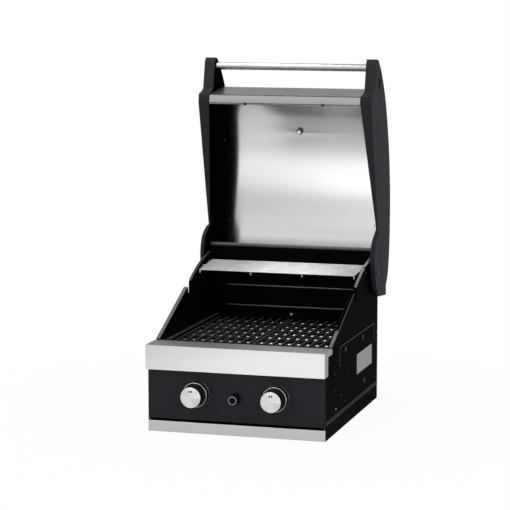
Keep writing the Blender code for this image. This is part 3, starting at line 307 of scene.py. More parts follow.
# A much lighter copy of the enamel for the rear wall's rolled top edge, a painted highlight.
PAINTED_HIGHLIGHT_ROLL_GLAZE = replace(PAINTED_LIGHT_GLAZE, name="roll_glaze", colour=(0.075, 0.073, 0.079), roughness=0.24,
                     relief=0.03)
# A lighter copy of the black enamel: painted highlight on the side panels' pressed beads, painted light on
# the tops of the left cheek and the firebox ledges.
PAINTED_HIGHLIGHT_BEAD_GLAZE = replace(PAINTED_LIGHT_GLAZE, name="bead_glaze", colour=(0.055, 0.054, 0.060), relief=0.04,
                     specular=0.1)
CAST_BLACK = Finish("cast_black", "black_casting", (0.0240, 0.0232, 0.0305), 0.0, 0.46, Texture.CAST,
                    1900.0, 0.12, spread=0.06, shade=0.85, specular=0.05)
IRON_GLAZE = Finish("iron_glaze", "cast_iron", (0.0075, 0.0073, 0.0092), 0.0, 0.20, Texture.CAST, 900.0,
                    0.12, spread=0.04, shade=0.7, specular=1.0)
# A lighter copy of the grate iron on the bar tops, painted light.
PAINTED_LIGHT_IRON = Finish("lit_iron", "cast_iron", (0.050, 0.048, 0.057), 0.0, 0.42, Texture.CAST, 900.0, 0.12,
                  spread=0.06, shade=0.8, specular=0.3)
# A bright metal copy of the grate iron on rib faces that look up and forward, so they show glints: a
# painted glint.
PAINTED_GLINT_IRON = Finish("rib_iron", "cast_iron", (0.22, 0.218, 0.225), 1.0, 0.20, Texture.CAST, 900.0, 0.10,
                  spread=0.04, shade=0.8)
CHROME = Finish("bright_chrome", "chrome", (0.80, 0.80, 0.81), 1.0, 0.12, Texture.SMOOTH, 500.0, 0.02,
                spread=0.03, shade=0.95)
EDGE_CHROME = replace(CHROME, name="edge_chrome", colour=(0.55, 0.55, 0.56), roughness=0.26, relief=0.0)
RACK_CHROME = replace(CHROME, name="rack_chrome", colour=(0.39, 0.39, 0.395), roughness=0.22, grain=900.0,
                      relief=0.04, spread=0.05)
DIAL_WHITE = Finish("dial_white", "chrome", (0.80, 0.80, 0.78), 0.0, 0.40, Texture.PEEL, 300.0, 0.02,
                    spread=0.04, shade=0.96)
ZINC = Finish("zinc_plate", "galvanised", (0.45, 0.46, 0.47), 1.0, 0.38, Texture.PEEL, 160.0, 0.08,
              spread=0.10, shade=0.75)
DULL_SCREW = Finish("dull_screw", "galvanised", (0.065, 0.064, 0.070), 0.0, 0.40, Texture.PEEL, 160.0,
                    0.04, spread=0.08, shade=0.8, specular=0.1)
PLATE_GREY = Finish("blank_plate", "galvanised", (0.33, 0.33, 0.35), 0.0, 0.45, Texture.PEEL, 250.0,
                    0.04, spread=0.05, shade=0.92, specular=0.3)
KNOB_BLACK = Finish("knob_black", "black_plastic", (0.0080, 0.0078, 0.0095), 0.0, 0.26, Texture.CAST,
                    1200.0, 0.03, spread=0.05, shade=0.8, specular=0.03)
BLACK_RUBBER = Finish("black_rubber", "rubber", (0.0180, 0.0180, 0.0190), 0.0, 0.65, Texture.CAST,
                      1500.0, 0.12, shade=0.8, specular=0.3)
BRASS = Finish("turned_brass", "brass", (0.62, 0.45, 0.20), 1.0, 0.30, Texture.SMOOTH, 600.0, 0.06,
               spread=0.08, shade=0.8)
GLAZED_WHITE = Finish("glazed_ceramic", "ceramic", (0.78, 0.76, 0.70), 0.0, 0.25, Texture.PEEL, 300.0,
                      0.05, spread=0.05, shade=0.9)


@dataclass
class Frame:
    """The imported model, with where the lid stands in it."""

    nodes: dict[str, bpy.types.Object]
    pivot: Vector = field(default_factory=lambda: Vector((0.0, 0.2015, 0.329)))
    lid_turn: float = math.radians(-75.5)
    lid_reach: float = 0.438
    half_width: float = 0.215
    front: float = -0.2625

    def on_lid(self, across: float, ahead: float, above: float) -> Vector:
        """Give the place of a point of the open lid.

        Args:
            across: Distance to the right of the middle.
            ahead: Distance ahead of the pivot, in the closed lid's direction.
            above: Distance above the pivot.

        Returns:
            The point in the model's frame.
        """
        return self.lid_way(across, ahead, above) + self.pivot

    def lid_way(self, across: float, ahead: float, above: float) -> Vector:
        """Turn a direction of the closed lid to the open lid."""
        return Matrix.Rotation(self.lid_turn, 3, "X") @ Vector((across, -ahead, above))


def in_scene(name: str, data: bpy.types.ID) -> bpy.types.Object:
    """Make an object and link it to the scene.

    Args:
        name: The object's name.
        data: Its mesh, lamp or camera.

    Returns:
        The new object, which stands at the origin.
    """
    made = bpy.data.objects.new(name, data)
    bpy.context.scene.collection.objects.link(made)
    return made


def finished(name: str, mesh: bpy.types.Mesh, finish: Finish, body: str, *nodes: str) -> bpy.types.Object:
    """Make a piece from a mesh, dress it and let it ride on its body.

    Args:
        name: The piece's name.
        mesh: Its mesh, in place.
        finish: Its finish.
        body: The body that carries it.
        nodes: The CAD nodes that it stands for.

    Returns:
        The new object.
    """
    mesh.name = name
    mesh.materials.clear()
    mesh.materials.append(finish.material())
    piece = in_scene(name, mesh)
    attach(piece, body)
    if nodes:
        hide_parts(*nodes)
    LOG.info("%s on %s: %d faces", name, body, len(mesh.polygons))
    return piece


def evaluated(holder: bpy.types.Object) -> bpy.types.Mesh:
    """Bake an object's modifiers into a plain mesh and remove the object.

    Args:
        holder: An object that stands at the origin.

    Returns:
        The plain mesh.
    """
    graph = bpy.context.evaluated_depsgraph_get()
    graph.update()
    mesh = bpy.data.meshes.new_from_object(holder.evaluated_get(graph), depsgraph=graph)
    bpy.data.objects.remove(holder, do_unlink=True)
    return mesh


def softened(mesh: bpy.types.Mesh, width: float = 0.0, segments: int = 2,
             angle: float = EDGE_ANGLE) -> bpy.types.Mesh:
    """Round the sharp edges of a mesh and smooth its shading.

    Args:
        mesh: The mesh to round.
        width: The width of the rounding; at zero the edges stay sharp.
        segments: How many faces it has across.
        angle: The least angle of an edge that is rounded or sharp, in degrees.

    Returns:
        The rounded mesh.
    """
    mesh.shade_smooth()
    holder = in_scene("holder", mesh)
    if width > 0:
        bevel = holder.modifiers.new("edges", "BEVEL")
        bevel.width = width
        bevel.segments = segments
        bevel.limit_method = "ANGLE"
        bevel.angle_limit = math.radians(angle)
        bevel.use_clamp_overlap = True
        bevel.miter_outer = "MITER_ARC"
    else:
        mesh.set_sharp_from_angle(angle=math.radians(angle))
    weighted = holder.modifiers.new("normals", "WEIGHTED_NORMAL")
    weighted.keep_sharp = True
    weighted.weight = NORMAL_WEIGHT
    return evaluated(holder)


def from_bmesh(shape: bmesh.types.BMesh, turn_out: bool = True) -> bpy.types.Mesh:
    """Turn a bmesh into a mesh.

    Args:
        shape: The bmesh, which is freed.
        turn_out: Whether its faces are turned outwards first.

    Returns:
        The mesh.
    """
    if turn_out:
        bmesh.ops.recalc_face_normals(shape, faces=shape.faces[:])
    mesh = bpy.data.meshes.new("mesh")
    shape.to_mesh(mesh)
    shape.free()
    return mesh


def copied(frame: Frame, name: str, cut: float) -> bpy.types.Mesh:
    """Copy a CAD node as a mesh of merged, flat faces.

    Args:
        frame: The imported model.
        name: The node to copy.
        cut: The height of a level line that is cut into its faces.

    Returns:
        The merged mesh.
    """
    shape = bmesh.new()
    shape.from_mesh(frame.nodes[name].data)
    bmesh.ops.remove_doubles(shape, verts=shape.verts[:], dist=MERGE_DISTANCE)
    bmesh.ops.dissolve_limit(shape, angle_limit=math.radians(FLAT_ANGLE), verts=shape.verts[:],
                             edges=shape.edges[:])
    every = shape.verts[:] + shape.edges[:] + shape.faces[:]
    bmesh.ops.bisect_plane(shape, geom=every, plane_co=(0, 0, cut), plane_no=UPWARD)
    return from_bmesh(shape, False)


def circle(radius: float, sides: int) -> list[Pair]:
    """Give the points of a circle about zero."""
    return [(radius * math.cos(math.tau * i / sides), radius * math.sin(math.tau * i / sides))
            for i in range(sides)]


def turned(profile: Iterable[Point], place: Point, axis: Point, sides: int) -> bpy.types.Mesh:
    """Turn a profile about an axis into a closed solid.

    Args:
        profile: Points of radius and distance along the axis; a closed ring where none has radius zero.
        place: Where the axis starts.
        axis: The direction of the axis.
        sides: How many faces go round.

    Returns:
        The turned mesh.
    """
    shape = bmesh.new()
    points = list(profile)
    hollow = all(radius > 0 for radius, _ in points)
    rings = []
    for radius, along in points:
        spots = circle(radius, sides) if radius > 0 else [(0.0, 0.0)]
        rings.append([shape.verts.new((x, y, along)) for x, y in spots])
    for first, second in list(zip(rings, rings[1:])) + ([(rings[-1], rings[0])] if hollow else []):
        for i in range(sides):
            j = (i + 1) % sides
            corners = [first[i % len(first)], first[j % len(first)], second[j % len(second)],
                       second[i % len(second)]]
            face = list(dict.fromkeys(corners))
            if len(face) > 2:
                shape.faces.new(face)
    turn = Vector(UPWARD).rotation_difference(Vector(axis)).to_matrix().to_4x4()
    bmesh.ops.transform(shape, matrix=Matrix.Translation(place) @ turn, verts=shape.verts[:])
    return from_bmesh(shape)


def hoop(radius: float, along: float, place: Point, thickness: float) -> bpy.types.Mesh:
    """Turn a thin round hoop that faces the front.

    Args:
        radius: The hoop's radius.
        along: How far it stands ahead of its place.
        place: The middle of the hoop.
        thickness: Half the thickness of its wire.

    Returns:
        The smooth hoop.
    """
    wire = [(radius + out, along + on) for out, on in circle(thickness, HOOP_WIRE_SIDES)]
    return softened(turned(wire, place, FORWARD, HOOP_SIDES), angle=HOOP_ANGLE)


def block(low: Point, high: Point) -> bpy.types.Mesh:
    """Make a box between two corners.

    Args:
        low: The lowest corner.
        high: The highest corner.

    Returns:
        The box's mesh.
    """
    shape = bmesh.new()
    made = bmesh.ops.create_cube(shape, size=1.0)
    bmesh.ops.scale(shape, vec=Vector(high) - Vector(low), verts=made["verts"])
    bmesh.ops.translate(shape, vec=(Vector(low) + Vector(high)) / 2, verts=made["verts"])
    return from_bmesh(shape)


def together(*meshes: bpy.types.Mesh) -> bpy.types.Mesh:
    """Put several meshes into one.

    Args:
        meshes: The meshes, in place.

    Returns:
        The joined mesh.
    """
    shape = bmesh.new()
    for mesh in meshes:
        shape.from_mesh(mesh)
    return from_bmesh(shape, False)


class Tree:
    """A geometry node tree built in the script, whose inputs have names."""

    def __init__(self, name: str) -> None:
        """Start a tree with a geometry input and output.

        Args:
            name: The tree's name.
        """
        self.group = bpy.data.node_groups.new(name, "GeometryNodeTree")
        for way in ("INPUT", "OUTPUT"):
            self.group.interface.new_socket("Geometry", in_out=way, socket_type="NodeSocketGeometry")
        self.entry = node(self.group, "NodeGroupInput")
        self.base = self.entry.outputs[0]
        self.identifiers: dict[str, str] = {}

    def input(self, name: str, kind: str = "Float") -> Socket:
        """Add a named input.

        Args:
            name: The input's name.
            kind: Its kind of value.

        Returns:
            Its socket inside the tree.
        """
        made = self.group.interface.new_socket(name, in_out="INPUT", socket_type="NodeSocket" + kind)
        self.identifiers[name] = made.identifier
        return self.entry.outputs[name]

    def add(self, kind: str, inputs: dict[int | str, object], **settings: object) -> Socket:
        """Add a node of a kind, set it up and give its first output."""
        return node(self.group, kind, inputs, **settings).outputs[0]

    def sweep(self, line: Socket, profile: Socket) -> Socket:
        """Sweep a profile along a line and close its ends."""
        return self.add("GeometryNodeCurveToMesh", {
            "Curve": line, "Profile Curve": profile, "Fill Caps": True})

    def close(self, *geometries: Socket) -> None:
        """End the tree: join, realize, smooth and set the material.

        Args:
            geometries: The sockets of what is joined.
        """
        join = node(self.group, "GeometryNodeJoinGeometry")
        for geometry in geometries:
            self.group.links.new(geometry, join.inputs[0])
        real = self.add("GeometryNodeRealizeInstances", {0: join.outputs[0]})
        smooth = self.add("GeometryNodeSetShadeSmooth", {0: real})
        finish = self.input("Finish", "Material")
        paint = self.add("GeometryNodeSetMaterial", {0: smooth, "Material": finish})
        node(self.group, "NodeGroupOutput", {0: paint})

    def run(self, base: bpy.types.Mesh, finish: Finish, **values: object) -> bpy.types.Mesh:
        """Run the tree on a mesh.

        Args:
            base: The mesh that enters the tree.
            finish: The finish to set.
            values: The values of the named inputs.

        Returns:
            The plain mesh that comes out.
        """
        holder = in_scene("holder", base)
        modifier = holder.modifiers.new("tree", "NODES")
        modifier.node_group = self.group
        for name, value in values.items():
            modifier[self.identifiers[name]] = value
        modifier[self.identifiers["Finish"]] = finish.material()
        made = evaluated(holder)
        made.set_sharp_from_angle(angle=math.radians(WIRE_ANGLE))
        return made


def wire_tree() -> Tree:
    """Make the tree that turns edges into round wires.

    Returns:
        The tree, with the inputs Bend, Sides and Radius.
    """
    tree = Tree("wires")
    curve = tree.add("GeometryNodeMeshToCurve", {0: tree.base})
    bent = tree.add("GeometryNodeFilletCurve", {
        "Curve": curve, "Count": BEND_STEPS, "Radius": tree.input("Bend")}, mode="POLY")
    ring = tree.add("GeometryNodeCurvePrimitiveCircle", {
        "Resolution": tree.input("Sides", "Int"), "Radius": tree.input("Radius")})
    tree.close(tree.sweep(bent, ring))
    return tree


def scatter_tree() -> Tree:
    """Make the tree that puts a fastener on each point, turned the way the point faces.

    Returns:
        The tree, with the inputs Piece and Size.
    """
    tree = Tree("fasteners")
    piece = node(tree.group, "GeometryNodeObjectInfo", {"Object": tree.input("Piece", "Object")})
    facing = tree.add("GeometryNodeInputNamedAttribute", {"Name": "facing"}, data_type="FLOAT_VECTOR")
    turn = tree.add("FunctionNodeAlignRotationToVector", {"Vector": facing}, axis="Z")
    tree.close(tree.add("GeometryNodeInstanceOnPoints", {
        "Points": tree.base, "Instance": piece.outputs["Geometry"], "Rotation": turn,
        "Scale": tree.input("Size")}))
    return tree


def grate_tree() -> Tree:
    """Make the tree of a cooking grate: parallel bars on rounded cross ribs at given points.

    Returns:
        The tree, with inputs for the run and section of its bars and ribs.
    """
    tree = Tree("grate")
    places = tree.add("GeometryNodeMeshLine", {
        "Count": tree.input("Bars", "Int"), "Start Location": tree.input("First Bar", "Vector"),
        "Offset": tree.input("Pitch", "Vector")}, mode="OFFSET")
    line = tree.add("GeometryNodeCurvePrimitiveLine", {"End": tree.input("Bar Run", "Vector")})
    outline = tree.add("GeometryNodeCurvePrimitiveQuadrilateral", {
        "Bottom Width": tree.input("Bar Crown"), "Top Width": tree.input("Bar Foot"),
        "Height": tree.input("Bar Height"), "Offset": 0.0}, mode="TRAPEZOID")
    soft = tree.add("GeometryNodeFilletCurve", {
        "Curve": outline, "Count": BAR_EDGE_STEPS, "Radius": tree.input("Bar Edge")}, mode="POLY")
    bars = tree.add("GeometryNodeInstanceOnPoints", {
        "Points": places, "Instance": tree.sweep(line, soft)})
    across = tree.add("GeometryNodeCurvePrimitiveLine", {"End": tree.input("Rib Run", "Vector")})
    ring = tree.add("GeometryNodeCurvePrimitiveCircle", {"Resolution": RIB_SIDES, "Radius": 1.0})
    oval = tree.add("GeometryNodeTransform", {"Geometry": ring, "Scale": tree.input("Rib Oval", "Vector")})
    ribs = tree.add("GeometryNodeInstanceOnPoints", {
        "Points": tree.base, "Instance": tree.sweep(across, oval)})
    tree.close(bars, ribs)
    return tree


def dots(points: Iterable[Point], facings: Iterable[Point] = ()) -> bpy.types.Mesh:
    """Make a mesh of loose points, each with the way it faces.

    Args:
        points: The points.
        facings: Their directions, where they have any.

    Returns:
        The mesh of points.
    """
    mesh = bpy.data.meshes.new("points")
    mesh.from_pydata([tuple(point) for point in points], [], [])
    ways = [tuple(way) for way in facings]
    if ways:
        stored = mesh.attributes.new("facing", "FLOAT_VECTOR", "POINT")
        for item, way in zip(stored.data, ways):
            item.vector = way
    return mesh


def paths(*lines: Sequence[Point]) -> bpy.types.Mesh:
    """Make a mesh of open lines of edges.

    Args:
        lines: The points of each line.

    Returns:
        The mesh of edges.
    """
    mesh = bpy.data.meshes.new("lines")
    points, edges = [], []
    for line in lines:
        start = len(points)
        points += [tuple(point) for point in line]
        edges += [(start + i, start + i + 1) for i in range(len(line) - 1)]
    mesh.from_pydata(points, edges, [])
    return mesh


@dataclass
class Fastener:
    """A screw head, turned once and scattered by geometry nodes."""

    radius: float = 0.0032
    height: float = 0.0014
    recess: float = 0.0007
    dome: tuple[Pair, ...] = ((1.0, -1.0), (1.0, 0.35), (0.86, 0.72), (0.6, 0.95))
    slot_length: float = 0.62
    slot_width: float = 0.13
    sides: int = 18
    points: list[tuple[str, Vector, Vector, float, Finish]] = field(default_factory=list)

    def add(self, body: str, place: Point, facing: Point, size: float = 1.0, finish: Finish = ZINC) -> None:
        """Put one screw on a body.

        Args:
            body: The body that carries it.
            place: The middle of its foot.
            facing: The way its head points.
            size: Its size as a share of the plain screw.
            finish: Its finish.
        """
        self.points.append((body, Vector(place), Vector(facing).normalized(), size, finish))

    def head(self) -> bpy.types.Mesh:
        """Make a pan head with a cross recess.

        Returns:
            The head's mesh, facing up at the origin.
        """
        r, h = self.radius, self.height
        dome = [(0, -h), *((r * across, h * along) for across, along in self.dome), (0, h)]
        holder = in_scene("head", turned(dome, ORIGIN, UPWARD, self.sides))
        cutters = []
        length, width = r * self.slot_length, r * self.slot_width
        for x, y in ((length, width), (width, length)):
            cutter = in_scene("cutter", block((-x, -y, h - self.recess), (x, y, h * 2)))
            cutter.hide_render = True
            cutters.append(cutter)
            cut = holder.modifiers.new("cut", "BOOLEAN")
            cut.object, cut.operation, cut.solver = cutter, "DIFFERENCE", "EXACT"
        head = evaluated(holder)
        for cutter in cutters:
            bpy.data.objects.remove(cutter, do_unlink=True)
        return head

    def build(self, tree: Tree) -> None:
        """Scatter the screws, one piece for each body, size and finish.

        Args:
            tree: The tree that scatters pieces on points.
        """
        head = in_scene("screw_head", self.head())
        kinds: dict[tuple[str, float, Finish], list[tuple[Vector, Vector]]] = {}
        for body, place, way, size, finish in self.points:
            kinds.setdefault((body, size, finish), []).append((place, way))
        for (body, size, finish), chosen in kinds.items():
            mesh = tree.run(dots(*zip(*chosen)), finish, Piece=head, Size=size)
            finished(f"{finish.name}_{body}_{round(size * 100)}", mesh, finish, body)
        bpy.data.objects.remove(head, do_unlink=True)


def refaced(piece: bpy.types.Object, way: Point, finish: Finish, lean: float, below: float = NO_LIMIT,
            above: float = -NO_LIMIT) -> None:
    """Give the faces that look one way another finish, to paint light or shade on them.

    Args:
        piece: The piece.
        way: The unit direction the faces look.
        finish: Their finish.
        lean: How squarely a face must look that way, from -1 to 1.
        below: Only faces under this height get it.
        above: Only faces over this height get it.
    """
    piece.data.materials.append(finish.material())
    for face in piece.data.polygons:
        if face.normal.dot(Vector(way)) > lean and above < face.center.z < below:
            face.material_index = len(piece.data.materials) - 1


@dataclass(frozen=True)
class Dressed:
    """CAD nodes that keep their shape, with rounded edges and a finish."""

    nodes: tuple[str, ...]
    finish: Finish
    body: str
    width: float = 0.0
    segments: int = 2
    angle: float = EDGE_ANGLE
    # A second finish for faces that look up: a lighter copy as painted light, or a darker one as painted
    # shade.
    painted_top: Finish | None = None
    below: float = NO_LIMIT

    def build(self, frame: Frame) -> list[bpy.types.Object]:
        """Make the nodes' dressed copies.

        Args:
            frame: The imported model.

        Returns:
            The new pieces, in the nodes' order.
        """
        made = []
        for name in self.nodes:
            mesh = softened(copied(frame, name, self.below), self.width, self.segments, self.angle)
            piece = finished(name + "_dressed", mesh, self.finish, self.body, name)
            if self.painted_top:
                refaced(piece, UPWARD, self.painted_top, UPWARD_LEAN, self.below)
            made.append(piece)
        return made


@dataclass
class Assembly:
    """A sub-assembly, with the CAD nodes in it that keep their shape."""

    dress: tuple[Dressed, ...] = ()

    def dress_nodes(self, frame: Frame) -> None:
        """Make the dressed copies of its CAD nodes."""
        for item in self.dress:
            item.build(frame)


def pair(stem: str) -> tuple[str, str]:
    """Give a left and a right name."""
    return stem + "_left", stem + "_right"


@dataclass
class Shell(Assembly):
    """Body shell: side panels with their pressed outline, screws, knockouts and blank plate."""

    line_radius: float = 0.0011
    line_sides: int = 10
    line_bend: float = 0.006
    line_stand: float = 0.0001
    line_top: float = 0.198
    line_front: float = -0.1279
    line_back: float = 0.2235
    line_foot: float = 0.151
    crease_heights: Pair = (0.0375, 0.0430)
    crease_inset: float = 0.004
    slope: tuple[Pair, ...] = ((-0.2015, 0.2106), (0.0105, 0.3028))
    rim_radius: float = 0.0006
    rim_sides: int = 8
    rim_sink: float = 0.0004
    plate_low: Pair = (0.0425, 0.101)
    plate_high: Pair = (0.1975, 0.150)
    plate_edge: float = 0.0003
    plate_sink: float = 0.0006
    plate_stand: float = 0.0007
    small_screws: tuple[Pair, ...] = (
        (-0.1517, 0.1715), (-0.1748, 0.142), (-0.1780, 0.1044), (-0.1166, 0.0816), (-0.0803, 0.0614),
        (-0.2325, 0.180), (0.2325, 0.060), (0.2499, 0.1713))
    knockouts: tuple[Pair, ...] = ((-0.0751, 0.1853), (0.1002, 0.1834), (0.1162, 0.0730))
    bright_screws: tuple[Pair, ...] = ((-0.1643, 0.0572),)
    small_size: float = 0.8
    knockout_size: float = 1.9
    bright_size: float = 0.9
    rear_screws: tuple[float, ...] = (-0.19, -0.065, 0.065, 0.19)
    rear_heights: Pair = (0.245, 0.016)
    # Faces that look up get a second finish: painted light on the enamel parts, painted shade on the
    # bezel's steel.
    dress: tuple[Dressed, ...] = (
        Dressed(("side_panel_left",), BLACK_GLAZE, "body", 0.0004, painted_top=PAINTED_LIGHT_GLAZE),
        Dressed(("side_panel_right",), BLACK_GLAZE, "body", 0.0004, painted_top=PAINTED_LIGHT_GLAZE, below=0.2385),
        Dressed(pair("inner_side"), PIT_GLAZE, "body", 0.0003),
        Dressed(("rear_panel",), BLACK_GLAZE, "body", 0.0004),
        Dressed(("base_plate",), ZINC, "body", 0.0003),
        Dressed(("front_bezel",), BRUSHED_STEEL, "body", 0.0010, 3, painted_top=PAINTED_SHADE_SATIN_TOP),
        Dressed(("control_panel",), PANEL_GLAZE, "body", 0.0003),
        Dressed(("cheek_left",), BLACK_GLAZE, "body", 0.0006, 3, painted_top=PAINTED_HIGHLIGHT_BEAD_GLAZE),
        Dressed(("cheek_right",), BLACK_GLAZE, "body", 0.0006, 3, painted_top=PAINTED_LIGHT_GLAZE),
    )

    def build(self, frame: Frame, wires: Tree, screws: Fastener) -> None:
        """Dress the shell and add its pressed lines, screws and blank plate.

        Args:
            frame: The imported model.
            wires: The tree that makes round wires.
            screws: The set that gathers screws.
        """
        self.dress_nodes(frame)
        for name, side in SIDES:
            face = side * (frame.half_width + self.line_stand)
            bead = [(face, self.line_front, self.line_foot), (face, self.line_front, self.line_top),
                    (face, self.line_back, self.line_top), (face, self.line_back, self.line_foot)]
            creases = [[(face, frame.front + self.crease_inset, height),
                        (face, -frame.front - self.crease_inset, height)] for height in self.crease_heights]
            # The pressed beads and creases are drawn in the lighter enamel, a painted highlight.
            mesh = wires.run(paths(bead, *creases), PAINTED_HIGHLIGHT_BEAD_GLAZE, Radius=self.line_radius,
                             Sides=self.line_sides, Bend=self.line_bend)
            finished("side_beads_" + name, mesh, PAINTED_HIGHLIGHT_BEAD_GLAZE, "body")
            slope = [(side * (frame.half_width - self.rim_sink), y, z) for y, z in self.slope]
            # The slope's rim is a wire in the lighter enamel, a painted highlight along the edge.
            rim = wires.run(paths(slope), PAINTED_LIGHT_GLAZE, Radius=self.rim_radius, Sides=self.rim_sides)
            finished("slope_rim_" + name, rim, PAINTED_LIGHT_GLAZE, "body")
            for places, size, finish in ((self.small_screws, self.small_size, DULL_SCREW),
                                         (self.knockouts, self.knockout_size, DULL_SCREW),
                                         (self.bright_screws, self.bright_size, ZINC)):
                for y, z in places:
                    screws.add("body", (side * frame.half_width, y, z), (side, 0, 0), size, finish)
        (front, foot), (back, top) = self.plate_low, self.plate_high
        inside, outside = frame.half_width - self.plate_sink, frame.half_width + self.plate_stand
        plate = softened(block((inside, front, foot), (outside, back, top)), self.plate_edge)
        finished("blank_plate", plate, PLATE_GREY, "body")
        for across in self.rear_screws:
            for height in self.rear_heights:
                screws.add("body", (across, -frame.front, height), BACKWARD)


@dataclass
class Firebox(Assembly):
    """Firebox: walls with pressed ribs, rails, floor, flame tamers and the rolled rear bar."""

    wall_back: float = 0.488
    sheet: float = 0.0012
    rib_sink: float = 0.0003
    rib_radius: float = 0.0026
    rib_sides: int = 12
    rib_half: float = 0.170
    rib_heights: Pair = (0.2795, 0.228)
    bar_height: float = 0.3827
    bar_radius: float = 0.0049
    bar_sides: int = 28
    bar_half: float = 0.2134
    bar_behind: float = 0.0006
    screw_height: float = 0.209
    screw_size: float = 1.25
    dress: tuple[Dressed, ...] = (
        Dressed(("firebox_front_wall", "firebox_rear_wall"), PIT_GLAZE, "body", 0.0004),
        # The firebox sides' faces that look up get the lighter enamel, painted light.
        Dressed(pair("firebox_side"), PIT_GLAZE, "body", 0.0004, painted_top=PAINTED_HIGHLIGHT_BEAD_GLAZE),
        Dressed(("firebox_floor",), PIT_GLAZE, "body", 0.0004),
        Dressed(("support_rail_front", "support_rail_rear"), PIT_GLAZE, "body", 0.0004),
        Dressed(("flame_tamer_left",), BRUSHED_STEEL, "left_tamer", 0.0004),
        Dressed(("flame_tamer_right",), BRUSHED_STEEL, "right_tamer", 0.0004),
    )

    def build(self, frame: Frame, wires: Tree, screws: Fastener) -> None:
        """Dress the firebox and add its rear wall's ribs, rolled bar and screw.

        Args:
            frame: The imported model.
            wires: The tree that makes round wires.
            screws: The set that gathers screws.
        """
        self.dress_nodes(frame)
        wall = frame.front + self.wall_back - self.sheet - self.rib_sink
        ribs = [[(-self.rib_half, wall, height), (self.rib_half, wall, height)]
                for height in self.rib_heights]
        # The ribs are pressed in the rear wall but drawn lighter, a painted highlight.
        mesh = wires.run(paths(*ribs), PAINTED_HIGHLIGHT_RIB_GLAZE, Radius=self.rib_radius, Sides=self.rib_sides)
        finished("rear_wall_ribs", mesh, PAINTED_HIGHLIGHT_RIB_GLAZE, "body")
        behind = frame.front + self.wall_back + self.bar_behind
        line = [(-self.bar_half, behind, self.bar_height), (self.bar_half, behind, self.bar_height)]
        # The rolled bar is drawn in the lighter enamel, a painted highlight.
        roll = wires.run(paths(line), PAINTED_HIGHLIGHT_ROLL_GLAZE, Radius=self.bar_radius, Sides=self.bar_sides)
        finished("rear_bar_roll", roll, PAINTED_HIGHLIGHT_ROLL_GLAZE, "body")
        screws.add("body", (0.0, wall - self.rib_sink, self.screw_height), FORWARD, self.screw_size)


@dataclass
class Grates:
    """Two cooking grates whose bars and ribs come from one node tree."""

    top: float = 0.198
    thickness: float = 0.012
    front: float = -0.1933
    back: float = 0.2195
    seam: float = 0.001
    outer: float = 0.1915
    bars: int = 9
    crown: float = 0.0066
    foot: float = 0.0090
    edge: float = 0.0018
    rib_width: float = 0.016
    rib_sink: float = 0.0052
    rib_shares: tuple[float, ...] = (0.0, 0.258, 0.443, 0.577, 0.730, 0.838, 1.0)
    glint_facing: Triple = (0, -0.63, 0.78)
    glint_lean: float = 0.75
    painted_light_lean: float = 0.8

    def build(self, tree: Tree) -> None:
        """Make both grates.

        Args:
            tree: The tree of a grate.
        """
        width = self.outer - self.seam
        pitch = (width - self.foot) / (self.bars - 1)
        middle = self.top - self.thickness / 2
        run = self.back - self.front - self.rib_width
        depth = self.thickness - self.rib_sink
        rib_top = self.top - self.rib_sink / 2
        for name, side in SIDES:
            first = side * (self.seam + self.foot / 2)
            rows = [(side * self.seam, self.front + self.rib_width / 2 + share * run,
                     self.top - self.rib_sink - depth / 2) for share in self.rib_shares]
            mesh = tree.run(dots(rows), IRON_GLAZE, **{
                "Bars": self.bars, "First Bar": (first, self.front, middle),
                "Pitch": (side * pitch, 0.0, 0.0), "Bar Run": (0.0, self.back - self.front, 0.0),
                "Bar Crown": self.crown, "Bar Foot": self.foot, "Bar Height": self.thickness,
                "Bar Edge": self.edge, "Rib Run": (side * width, 0.0, 0.0),
                "Rib Oval": (self.rib_width / 2, depth / 2, 1.0)})
            grate = finished("cooking_grate_" + name, mesh, IRON_GLAZE, name + "_grate", "grate_" + name)
            # Rib faces that look up and forward get the bright metal copy, a painted glint.
            refaced(grate, self.glint_facing, PAINTED_GLINT_IRON, self.glint_lean, below=rib_top)
            # The bar tops that look up are painted lighter, painted light.
            refaced(grate, UPWARD, PAINTED_LIGHT_IRON, self.painted_light_lean, above=rib_top)


@dataclass
class WarmingRack:
    """Wire rack on the cheeks: long wires over cross wires whose front ends are bent down."""

    front: float = 0.0835
    height: float = 0.336
    length: float = 0.1055
    rise: float = 0.010
    rows: int = 10
    carriers: tuple[int, ...] = (4, 8)
    half: float = 0.199
    carry: float = 0.2135
    wire: float = 0.004
    sides: int = 12
    crosses: int = 4
    cross_sink: float = 0.75
    cross_lead: float = 0.1
    drop: float = 0.005
    bend: float = 0.002

    def row(self, number: float) -> Pair:
        """Give the place of a long wire."""
        share = number / (self.rows - 1)
        return self.front + share * self.length, self.height + share * self.rise

    def build(self, wires: Tree) -> None:
        """Make the rack as one piece of wires.

        Args:
            wires: The tree that makes round wires.
        """
        lines = []
        for number in range(self.rows):
            y, z = self.row(number)
            reach = self.carry if number in self.carriers else self.half
            lines.append([(-reach, y, z), (reach, y, z)])
        below = self.wire * self.cross_sink
        (y0, z0), (y1, z1) = self.row(-self.cross_lead), self.row(self.rows - 1)
        for number in range(self.crosses):
            x = -self.half + self.wire / 2 + number * (2 * self.half - self.wire) / (self.crosses - 1)
            lines.append([(x, y0, z0 - below - self.drop), (x, y0, z0 - below), (x, y1, z1 - below)])
        mesh = wires.run(paths(*lines), RACK_CHROME, Radius=self.wire / 2, Sides=self.sides,
                         Bend=self.bend)
        finished("rack_wires", mesh, RACK_CHROME, "rack", "warming_rack")


